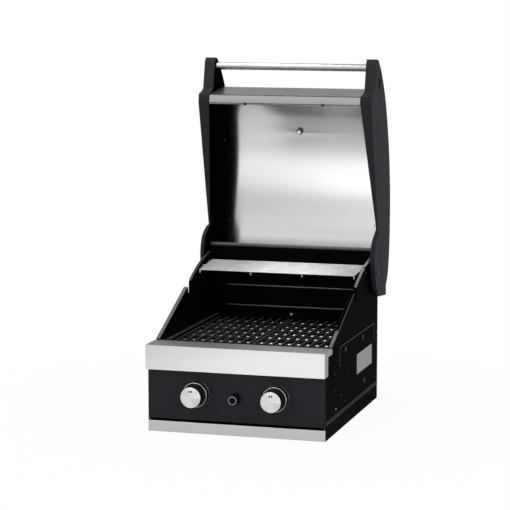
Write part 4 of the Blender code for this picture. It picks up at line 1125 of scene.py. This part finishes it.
@dataclass
class ControlKnob:
    """Knob with its ring, skirt and silver face, its stem, collar and valve."""

    spacing: float = 0.193
    height: float = 0.0945
    sides: int = 72
    gap: float = 0.0003
    ring_bore: float = 0.0043
    ring_radius: float = 0.0325
    ring_thickness: float = 0.0057
    ring_dish: float = 0.0012
    ring_edge: tuple[Pair, ...] = ((0.0, 0.45), (0.0006, 0.7), (0.0018, 0.9), (0.0034, 1.0))
    ring_wire: float = 0.0006
    lift: float = 0.0095
    skirt_radius: float = 0.029
    skirt: float = 0.004
    skirt_wire: float = 0.0009
    base_radius: float = 0.0265
    tip_radius: float = 0.0251
    reach: float = 0.045
    face_radius: float = 0.0246
    face_crown: float = 0.0010
    face_shares: tuple[float, ...] = (0.92, 0.8, 0.6, 0.4, 0.2)
    mark: Pair = (0.0034, 0.0048)
    mark_shift: float = 0.0026
    mark_rise: float = 0.0164
    mark_depth: float = 0.0018

    def build(self, frame: Frame) -> None:
        """Make both knobs and what carries them.

        Args:
            frame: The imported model.
        """
        for name, side in SIDES:
            spot = Vector((side * self.spacing / 2, frame.front, self.height))
            self._ring(name, spot)
            self._grip(name, spot)
            self._face(name, spot)
            Dressed(("valve_stem_" + name,), BRASS, "turn_" + name, 0.0002).build(frame)
            Dressed(("valve_collar_" + name,), BRASS, "push_" + name, 0.0002).build(frame)
            Dressed(("valve_body_" + name,), BRASS, "body", 0.0008).build(frame)

    def _ring(self, name: str, spot: Vector) -> None:
        """Make the black ring on the panel and its bright edge.

        Args:
            name: The knob's side.
            spot: The middle of the knob on the panel.
        """
        outer, thick = self.ring_radius, self.ring_thickness
        profile = [(self.ring_bore, self.gap), (outer, self.gap),
                   *((outer - inward, thick * share) for inward, share in self.ring_edge),
                   (outer - 0.006, thick + 0.0001), (outer - 0.0075, thick - self.ring_dish),
                   (self.ring_bore, thick - self.ring_dish)]
        mesh = softened(turned(profile, spot, FORWARD, self.sides))
        finished("knob_ring_" + name, mesh, KNOB_BLACK, "body", "knob_bezel_" + name)
        edge = hoop(outer - self.gap, 0.0012, spot, self.ring_wire)
        finished("knob_ring_edge_" + name, edge, EDGE_CHROME, "body")

    def _grip(self, name: str, spot: Vector) -> None:
        """Make the turned black grip with its skirt and the skirt's bright edge.

        Args:
            name: The knob's side.
            spot: The middle of the knob on the panel.
        """
        skirt, seat = self.lift + self.skirt, self.reach - 0.0024
        profile = [(0, self.lift + 0.0004), (self.skirt_radius - 0.0008, self.lift),
                   (self.skirt_radius, self.lift + 0.0008), (self.skirt_radius, skirt - 0.0012),
                   (self.skirt_radius - 0.001, skirt - 0.0002), (self.base_radius + 0.0012, skirt),
                   (self.base_radius, skirt + 0.0012), (self.tip_radius + 0.0005, seat - 0.003),
                   (self.tip_radius + 0.0002, seat + 0.0004), (self.tip_radius - 0.0004, seat + 0.0010),
                   (self.face_radius - 0.0002, seat + 0.0010), (self.face_radius - 0.0003, seat - 0.0004),
                   (0, seat - 0.0004)]
        body = softened(turned(profile, spot, FORWARD, self.sides), angle=38.0)
        finished("knob_grip_" + name, body, KNOB_BLACK, "turn_" + name, "knob_" + name)
        edge = hoop(self.skirt_radius - 0.0004, skirt - 0.0006, spot, self.skirt_wire)
        finished("knob_skirt_edge_" + name, edge, CHROME, "turn_" + name)

    def _face(self, name: str, spot: Vector) -> None:
        """Make the silver face, slightly crowned, with two dark marks near its top.

        Args:
            name: The knob's side.
            spot: The middle of the knob on the panel.
        """
        seat, r, top = self.reach - 0.0027, self.face_radius, self.reach
        crown = [(0, seat), (r - 0.0004, seat), (r - 0.0004, top - 0.0014),
                 (r - 0.0008, top - self.face_crown),
                 *((r * share, top - self.face_crown * share ** 2) for share in self.face_shares),
                 (0, top)]
        mesh = softened(turned(crown, spot, FORWARD, self.sides), angle=30.0)
        finish = replace(SPUN_STEEL, name="spun_face_" + name, centre=tuple(spot))
        finished("knob_disc_" + name, mesh, finish, "turn_" + name, "knob_face_" + name)
        width, length = self.mark
        marks, high = [], spot.z + self.mark_rise
        for shift in (-self.mark_shift, self.mark_shift):
            marks.append(block((spot.x + shift - width / 2, spot.y - top, high - length),
                               (spot.x + shift + width / 2, spot.y - top + self.mark_depth, high)))
        finished("knob_marks_" + name, softened(together(*marks), 0.0002), KNOB_BLACK, "turn_" + name)


@dataclass
class GasTrain(Assembly):
    """Gas pipe, burners and spark electrodes."""

    dress: tuple[Dressed, ...] = (
        Dressed(("gas_manifold",), ZINC, "body", angle=WIRE_ANGLE),
        Dressed(pair("burner"), BRUSHED_STEEL, "body", angle=WIRE_ANGLE),
        Dressed(pair("spark_electrode"), GLAZED_WHITE, "body", angle=WIRE_ANGLE),
    )
    ports: int = 22
    port_pitch: float = 0.0135
    first_port: float = -0.150
    port_turns: Pair = (-42.0, 42.0)
    port_rim: tuple[Pair, ...] = ((0.0008, -0.0006), (0.0019, -0.0006), (0.0019, 0.0004), (0.0008, 0.0004))
    port_sink: float = 0.993
    port_sides: int = 12
    tube_radius: float = 0.019

    def build(self, frame: Frame, knobs: ControlKnob, scatter: Tree) -> None:
        """Dress the gas train and add the burner ports.

        Args:
            frame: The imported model.
            knobs: The knobs, which lie in line with the burners.
            scatter: The tree that scatters pieces on points.
        """
        self.dress_nodes(frame)
        port = in_scene("port", turned(self.port_rim, ORIGIN, UPWARD, self.port_sides))
        places, ways = [], []
        for _, side in SIDES:
            for turn in map(math.radians, self.port_turns):
                way = Vector((math.sin(turn), 0.0, math.cos(turn)))
                for number in range(self.ports):
                    middle = Vector((side * knobs.spacing / 2, self.first_port + number * self.port_pitch,
                                     knobs.height))
                    places.append(middle + way * self.tube_radius * self.port_sink)
                    ways.append(way)
        mesh = scatter.run(dots(places, ways), BRUSHED_STEEL, Piece=port, Size=1.0)
        bpy.data.objects.remove(port, do_unlink=True)
        finished("burner_ports", mesh, BRUSHED_STEEL, "body")


@dataclass
class Igniter:
    """Ignition button: a black flange and button in a bright ring."""

    height: float = 0.090
    sides: int = 48
    bore: float = 0.0076
    radius: float = 0.010
    front: float = 0.028
    back: float = -0.042
    flange_bore: float = 0.0102
    flange_radius: float = 0.013
    flange: float = 0.0037
    button_radius: float = 0.0073
    button_front: float = 0.030

    def build(self, frame: Frame) -> None:
        """Make the barrel, its ring and the button.

        Args:
            frame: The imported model.
        """
        inner, outer, front = self.bore, self.radius, self.front
        flange = [(self.flange_bore, 0.0003), (self.flange_radius, 0.0003),
                  (self.flange_radius, self.flange - 0.0012), (self.flange_radius - 0.0012, self.flange),
                  (self.flange_bore, self.flange)]
        barrel = [(inner + 0.0002, self.back), (outer - 0.0002, self.back),
                  (outer - 0.0002, front - 0.0045), (outer - 0.0008, front - 0.004),
                  (inner + 0.0002, front - 0.004)]
        ring = [(inner + 0.0008, front - 0.0042), (outer, front - 0.0042), (outer, front - 0.0008),
                (outer - 0.0005, front), (inner + 0.0012, front), (inner + 0.0008, front - 0.0006)]
        r, end = self.button_radius, self.button_front
        button = [(0, 0.0005), (r, 0.0005), (r, end - 0.0012), (r - 0.0010, end - 0.0001),
                  (r * 0.6, end - 0.0005), (0, end - 0.0008)]
        spot = (0.0, frame.front, self.height)
        flange, barrel, ring, button = (softened(turned(profile, spot, FORWARD, self.sides))
                                        for profile in (flange, barrel, ring, button))
        finished("igniter_sleeve", together(flange, barrel), KNOB_BLACK, "body", "igniter_barrel")
        finished("igniter_ring", ring, CHROME, "body")
        finished("igniter_cap", button, KNOB_BLACK, "ignition", "igniter_button")


@dataclass
class DripTray(Assembly):
    """Drip tray with its steel front, on two runners."""

    dress: tuple[Dressed, ...] = (
        Dressed(("drip_tray",), ZINC, "tray", 0.0004),
        # The tray front is painted lighter than the bezel's steel, painted light.
        Dressed(("tray_front",), PAINTED_LIGHT_TRAY_STEEL, "tray", 0.0006, 3),
        Dressed(pair("tray_runner"), ZINC, "body", 0.0003),
    )


@dataclass
class Lid(Assembly):
    """Open lid: cast caps, skin, liner, trim, handle, thermometer, pins and bumpers."""

    cap_screws: tuple[Pair, ...] = ((0.2804, 0.6435), (0.3149, 0.4318))
    cap_screw_across: float = 0.1934
    cap_screw_size: float = 0.7
    cap_shade_lean: float = 0.9
    shadow_line_half: float = 0.1930
    shadow_line_places: tuple[Pair, ...] = ((0.4361, 0.0624), (0.4185, 0.0536))
    shadow_line_radius: float = 0.0006
    shadow_line_sides: int = 8
    handle_radius: float = 0.009
    handle_wall: float = 0.0015
    handle_sides: int = 64
    shaded_lean: float = -0.30
    painted_shade_lean: float = 0.26
    pin_foot: tuple[Pair, ...] = (
        (0, 0), (0.0072, 0), (0.008, 0.0008), (0.008, 0.0036), (0.0075, 0.004), (0.005, 0.004))
    pin_radius: float = 0.005
    pin_head: float = 0.0072
    pin_sides: int = 40
    gauge_share: float = 0.6941
    gauge_radius: float = 0.028
    gauge_rim: float = 0.0095
    gauge_floor: float = 0.003
    gauge_stem: float = 0.005
    gauge_sides: int = 72
    hub_sides: int = 24
    ticks: int = 28
    tick_half: Triple = (0.0004, 0.0017, 0.0002)
    tick_rise: float = 0.00015
    tick_inset: float = 0.0072
    first_tick: float = -135.0
    tick_step: float = 10.0
    long_every: int = 3
    short_tick: float = 0.6
    needle: tuple[Pair, ...] = (
        (-0.0012, -0.012), (0.0012, -0.012), (0.0008, 0.014), (0.0, 0.0185), (-0.0008, 0.014))
    needle_thickness: float = 0.0009
    dress: tuple[Dressed, ...] = (
        Dressed(pair("lid_side_plate"), MATT_BLACK_AND_SHADE, "lid", 0.0003),
        Dressed(("lid_skin",), TRIM_STEEL, "lid", 0.0003, 2, 42.0),
        Dressed(("lid_liner",), LINER_SATIN, "lid", 0.0003, 2, 42.0),
        Dressed(("lid_front_trim",), SEAM_STEEL, "lid", 0.0003),
        Dressed(pair("lid_bumper"), BLACK_RUBBER, "lid", 0.0006),
        Dressed(("thermometer_nut",), DULL_SCREW, "lid", 0.0004),
    )

    def build(self, frame: Frame, wires: Tree, screws: Fastener) -> None:
        """Make the lid's pieces.

        Args:
            frame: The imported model.
            wires: The tree that makes round wires.
            screws: The set that gathers screws.
        """
        self.dress_nodes(frame)
        caps = Dressed(pair("lid_cap"), CAST_BLACK, "lid", 0.0016, 3, 28.0)
        for (_, side), cap in zip(SIDES, caps.build(frame)):
            # The caps' inner faces are painted near black, a painted shade.
            refaced(cap, (-side, 0, 0), MATT_BLACK_AND_SHADE, self.cap_shade_lean)
            for y, z in self.cap_screws:
                screws.add("lid", (side * self.cap_screw_across, y, z), (-side, 0, 0), self.cap_screw_size,
                           DULL_SCREW)
        # Dark wires along the front trim's upper and lower edges, painted shadow lines.
        shadow_lines = [[frame.on_lid(end, ahead, above) for end in (-self.shadow_line_half, self.shadow_line_half)]
                 for ahead, above in self.shadow_line_places]
        mesh = wires.run(paths(*shadow_lines), MATT_BLACK_AND_SHADE, Radius=self.shadow_line_radius, Sides=self.shadow_line_sides)
        finished("trim_seams", mesh, MATT_BLACK_AND_SHADE, "lid")
        self._handle()
        self._pins(frame)
        self._gauge(frame)

    def _handle(self) -> None:
        """Make the handle tube, with painted shade on its underside and a lower band of nearly its top
        colour.
        """
        low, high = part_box("lid_handle")
        middle = (low + high) / 2
        outer, inner = self.handle_radius, self.handle_radius - self.handle_wall
        ends = [(inner, low.x), (outer, low.x), (outer, high.x), (inner, high.x)]
        tube = softened(turned(ends, (0, middle.y, middle.z), (1, 0, 0), self.handle_sides))
        handle = finished("handle_tube", tube, BAR_STEEL, "lid", "lid_handle")
        # Faces that look down get the bands; the darkest one, on the underside, is painted shade.
        refaced(handle, (0, 0, -1), SHADED_BAR, self.shaded_lean)
        refaced(handle, (0, 0, -1), PAINTED_SHADE_UNDER_BAR, self.painted_shade_lean)

    def _pins(self, frame: Frame) -> None:
        """Make the hinge pins with domed heads.

        Args:
            frame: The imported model.
        """
        for name, side in SIDES:
            low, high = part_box("pivot_pin_" + name)
            inside, outside = (high.x, low.x) if side < 0 else (low.x, high.x)
            length = abs(outside - inside)
            profile = [*self.pin_foot, (self.pin_radius, length - 0.004), (self.pin_head, length - 0.004),
                       (self.pin_head, length - 0.0016), (self.pin_head - 0.0016, length - 0.0002),
                       (0.003, length), (0, length)]
            foot = (inside, frame.pivot.y, frame.pivot.z)
            mesh = softened(turned(profile, foot, (side, 0, 0), self.pin_sides))
            finished("hinge_pin_" + name, mesh, DULL_SCREW, "lid", "pivot_pin_" + name)

    def _gauge(self, frame: Frame) -> None:
        """Make the thermometer's case, dial, marks and needle.

        Args:
            frame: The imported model.
        """
        out = frame.lid_way(0, 0, 1)
        corners = frame.nodes["thermometer_case"].data.vertices
        heights = [out.dot(corner.co - frame.pivot) for corner in corners]
        rim, tip = max(heights), min(heights)
        spot = frame.on_lid(0, self.gauge_share * frame.lid_reach, 0)
        base, r, stem = rim - self.gauge_rim, self.gauge_radius, self.gauge_stem
        floor = base + self.gauge_floor
        case = [(0, tip), (stem - 0.0004, tip), (stem, tip + 0.0006), (stem, base), (r - 0.0008, base),
                (r, base + 0.0008), (r, rim - 0.0022), (r - 0.0007, rim - 0.0006), (r - 0.0018, rim),
                (r - 0.0030, rim - 0.0005), (r - 0.0036, rim - 0.0030), (r - 0.0036, floor - 0.0003),
                (0, floor - 0.0003)]
        mesh = softened(turned(case, spot, out, self.gauge_sides))
        finished("gauge_case", mesh, CHROME, "lid", "thermometer_case")
        dial = [(0, floor - 0.0004), (r - 0.0037, floor - 0.0004), (r - 0.0037, floor), (0, floor)]
        finished("gauge_dial", softened(turned(dial, spot, out, self.gauge_sides)), DIAL_WHITE, "lid")
        stand = Matrix.Translation(spot) @ Matrix.Rotation(frame.lid_turn, 4, "X")
        across, along, under = self.tick_half
        tick = block((-across, -along, -under), (across, along, self.tick_rise))
        marks = []
        for number in range(self.ticks):
            turn = Matrix.Rotation(math.radians(self.first_tick + self.tick_step * number), 4, "Z")
            size = Matrix.Scale(self.short_tick if number % self.long_every else 1.0, 4)
            marks.append(tick.copy())
            marks[-1].transform(turn @ Matrix.Translation((0, r - self.tick_inset, floor + 0.0001)) @ size)
        ring = together(*marks)
        ring.transform(stand)
        finished("gauge_marks", softened(ring), BLACK_RUBBER, "lid")
        needle = self._needle(floor + 0.0003)
        needle.transform(stand)
        finished("gauge_needle", softened(needle), BLACK_RUBBER, "needle", "thermometer_needle")

    def _needle(self, low: float) -> bpy.types.Mesh:
        """Make the needle on its hub.

        Args:
            low: The height of its underside.

        Returns:
            The needle, lying flat and pointing along Y.
        """
        shape = bmesh.new()
        foot, head = ([shape.verts.new((x, y, height)) for x, y in self.needle]
                      for height in (low, low + self.needle_thickness))
        shape.faces.new(foot)
        shape.faces.new(head)
        for i in range(len(foot)):
            j = (i + 1) % len(foot)
            shape.faces.new((foot[i], foot[j], head[j], head[i]))
        hub = [(0, low), (0.003, low), (0.003, low + 0.0012), (0.002, low + 0.0018), (0, low + 0.0018)]
        return together(from_bmesh(shape), turned(hub, ORIGIN, UPWARD, self.hub_sides))


@dataclass(frozen=True)
class Lamp:
    """A soft rectangular lamp."""

    name: str
    place: Triple
    aim: Triple
    width: float
    height: float
    power: float

    def build(self) -> None:
        """Put the lamp in the scene."""
        data = bpy.data.lights.new(self.name, "AREA")
        data.shape = "RECTANGLE"
        data.size, data.size_y, data.energy = self.width, self.height, self.power
        lamp = in_scene(self.name, data)
        lamp.location = self.place
        lamp.rotation_euler = (Vector(self.aim) - Vector(self.place)).to_track_quat("-Z", "Y").to_euler()


@dataclass
class Studio:
    """Floor, soft lamps, world and the camera at the photograph's angle."""

    eye: Triple = (1.39071, -4.8420, 1.09005)
    pitch: float = 7.896
    yaw: float = 16.356
    lens: float = 148.235
    sensor: float = 36.0
    lamps: tuple[Lamp, ...] = (
        Lamp("front_softbox", (-0.9, -3.0, 2.0), (0.0, 0.0, 0.35), 2.6, 2.0, 14.0),
        Lamp("side_softbox", (2.6, -0.6, 1.6), (0.0, 0.0, 0.35), 1.8, 1.8, 10.0),
        Lamp("top_softbox", (-0.38, -0.05, 1.80), (0.0, -0.05, 0.2), 0.8, 0.26, 9.0),
    )
    surround: float = 0.80
    horizon: Pair = (0.06, 0.40)
    horizon_level: float = 0.83
    upper_level: float = 1.05
    back_turn: Pair = (0.6, -0.3)
    back_level: float = 0.40
    share_ends: Pair = (-0.62, -0.22)
    left_share: float = 0.68
    right_share: float = 1.22
    floor_levels: tuple[Pair, ...] = (
        (0.0, 0.48), (0.45, 0.50), (0.56, 0.54), (0.72, 0.60), (0.90, 1.20), (1.08, 1.98), (1.28, 1.22),
        (1.90, 0.48), (2.90, 0.46), (4.00, 0.66))
    floor_half: float = 7.0
    floor_drop: float = 0.0006
    floor_grey: float = 0.72
    floor_roughness: float = 0.9
    shadow_ends: Pair = (0.35, 1.3)
    shadow_share: float = 0.96

    def build(self) -> None:
        """Make the whole setting."""
        scene = bpy.context.scene
        scene.view_settings.view_transform = "Standard"
        self._camera(scene)
        self._world(scene)
        self._floor()
        for lamp in self.lamps:
            lamp.build()

    def _camera(self, scene: bpy.types.Scene) -> None:
        """Put the camera where the photograph was taken.

        Args:
            scene: The scene that looks through it.
        """
        data = bpy.data.cameras.new("camera")
        data.lens, data.sensor_width = self.lens, self.sensor
        scene.camera = in_scene("camera", data)
        scene.camera.location = self.eye
        scene.camera.rotation_euler = (math.radians(90 - self.pitch), 0.0, math.radians(self.yaw))

    def _seen(self, tree: bpy.types.NodeTree) -> Socket:
        """Tell which rays should see a white surround: the camera's, mirrored and let through ones.

        Args:
            tree: The material's or world's node tree.

        Returns:
            The socket that is one for those rays.
        """
        path = node(tree, "ShaderNodeLightPath").outputs
        first = node(tree, "ShaderNodeMath", {0: path["Is Camera Ray"], 1: path["Is Glossy Ray"]},
                     operation="MAXIMUM")
        return node(tree, "ShaderNodeMath", {0: first.outputs[0], 1: path["Is Transmission Ray"]},
                    operation="MAXIMUM").outputs[0]

    def _mirrored(self, tree: bpy.types.NodeTree, parts: bpy.types.Node, front: Socket) -> Socket:
        """Give the level of white: full for the camera, and for reflections less at the back.

        Args:
            tree: The material's or world's node tree.
            parts: The node with the parts of the direction from the middle of the floor.
            front: The socket of the level that is mirrored at the front.

        Returns:
            The socket that carries the level.
        """
        level = ranged(tree, parts.outputs["Y"], self.back_turn, self.back_level, front)
        camera = node(tree, "ShaderNodeLightPath").outputs["Is Camera Ray"]
        return mixed(tree, camera, level, 1.0)

    def _parts(self, tree: bpy.types.NodeTree) -> bpy.types.Node:
        """Part the unit direction from the middle of the floor.

        Args:
            tree: The material's or world's node tree.

        Returns:
            The node with the direction's X, Y and Z.
        """
        place = node(tree, "ShaderNodeTexCoord").outputs["Object"]
        unit = node(tree, "ShaderNodeVectorMath", {0: place}, operation="NORMALIZE")
        return node(tree, "ShaderNodeSeparateXYZ", {0: unit.outputs["Vector"]})

    def _world(self, scene: bpy.types.Scene) -> None:
        """Make a world that lights softly and looks white.

        Args:
            scene: The scene that it surrounds.
        """
        world = bpy.data.worlds.new("studio")
        world.use_nodes = True
        tree = world.node_tree
        parts = self._parts(tree)
        high = ranged(tree, parts.outputs["Z"], self.horizon, self.horizon_level, self.upper_level)
        level = mixed(tree, self._seen(tree), self.surround, self._mirrored(tree, parts, high))
        background = tree.nodes["Background"].inputs
        background["Color"].default_value = (1.0, 1.0, 1.0, 1.0)
        tree.links.new(level, background["Strength"])
        scene.world = world

    def _floor_level(self, tree: bpy.types.NodeTree, place: Socket, away: Socket) -> Socket:
        """Give how white the floor is in reflections, by its distance from the middle and its side.

        Args:
            tree: The floor material's node tree.
            place: The socket of the place on the floor.
            away: The socket of the distance.

        Returns:
            The socket that carries the level.
        """
        far, peak = self.floor_levels[-1][0], max(level for _, level in self.floor_levels)
        share = node(tree, "ShaderNodeMath", {0: away, 1: far}, operation="DIVIDE")
        ramp = node(tree, "ShaderNodeValToRGB", {"Fac": share.outputs[0]})
        stops = ramp.color_ramp.elements
        while len(stops) < len(self.floor_levels):
            stops.new(0.5)
        for stop, (distance, level) in zip(stops, self.floor_levels):
            stop.position = distance / far
            stop.color = (level / peak, level / peak, level / peak, 1.0)
        across = node(tree, "ShaderNodeSeparateXYZ", {0: place}).outputs["X"]
        side = ranged(tree, across, self.share_ends, peak * self.left_share, peak * self.right_share)
        level = node(tree, "ShaderNodeMath", {0: ramp.outputs["Color"], 1: side}, operation="MULTIPLY")
        return level.outputs[0]

    def _floor(self) -> None:
        """Make a pale floor that keeps the shadow and fades to white."""
        mesh = bpy.data.meshes.new("floor")
        half, low = self.floor_half, -self.floor_drop
        corners = [(-half, -half, low), (half, -half, low), (half, half, low), (-half, half, low)]
        mesh.from_pydata(corners, [], [(0, 1, 2, 3)])
        floor = in_scene("floor", mesh)
        paint = bpy.data.materials.new("floor_white")
        paint.use_nodes = True
        tree = paint.node_tree
        shader = tree.nodes["Principled BSDF"]
        shader.inputs["Base Color"].default_value = (self.floor_grey, self.floor_grey, self.floor_grey, 1.0)
        shader.inputs["Roughness"].default_value = self.floor_roughness
        place = node(tree, "ShaderNodeTexCoord").outputs["Object"]
        away = node(tree, "ShaderNodeVectorMath", {0: place}, operation="LENGTH").outputs["Value"]
        level = self._mirrored(tree, self._parts(tree), self._floor_level(tree, place, away))
        glow = node(tree, "ShaderNodeEmission", {"Strength": level})
        fade = ranged(tree, away, self.shadow_ends, self.shadow_share, 1.0)
        camera = node(tree, "ShaderNodeLightPath").outputs["Is Camera Ray"]
        seen = mixed(tree, camera, self._seen(tree), fade)
        blend = node(tree, "ShaderNodeMixShader", {0: seen, 1: shader.outputs[0], 2: glow.outputs[0]})
        tree.links.new(blend.outputs[0], tree.nodes["Material Output"].inputs["Surface"])
        mesh.materials.append(paint)


def main() -> None:
    """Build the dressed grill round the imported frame."""
    logging.basicConfig(level=logging.INFO, format="%(message)s")
    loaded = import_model()
    frame = Frame(loaded["nodes"])
    Studio().build()
    wires, scatter, grate = wire_tree(), scatter_tree(), grate_tree()
    screws = Fastener()
    Shell().build(frame, wires, screws)
    Firebox().build(frame, wires, screws)
    Grates().build(grate)
    WarmingRack().build(wires)
    knobs = ControlKnob()
    knobs.build(frame)
    GasTrain().build(frame, knobs, scatter)
    Igniter().build(frame)
    DripTray().dress_nodes(frame)
    Lid().build(frame, wires, screws)
    screws.build(scatter)
    bpy.context.view_layer.update()


if __name__ == "__main__":
    main()
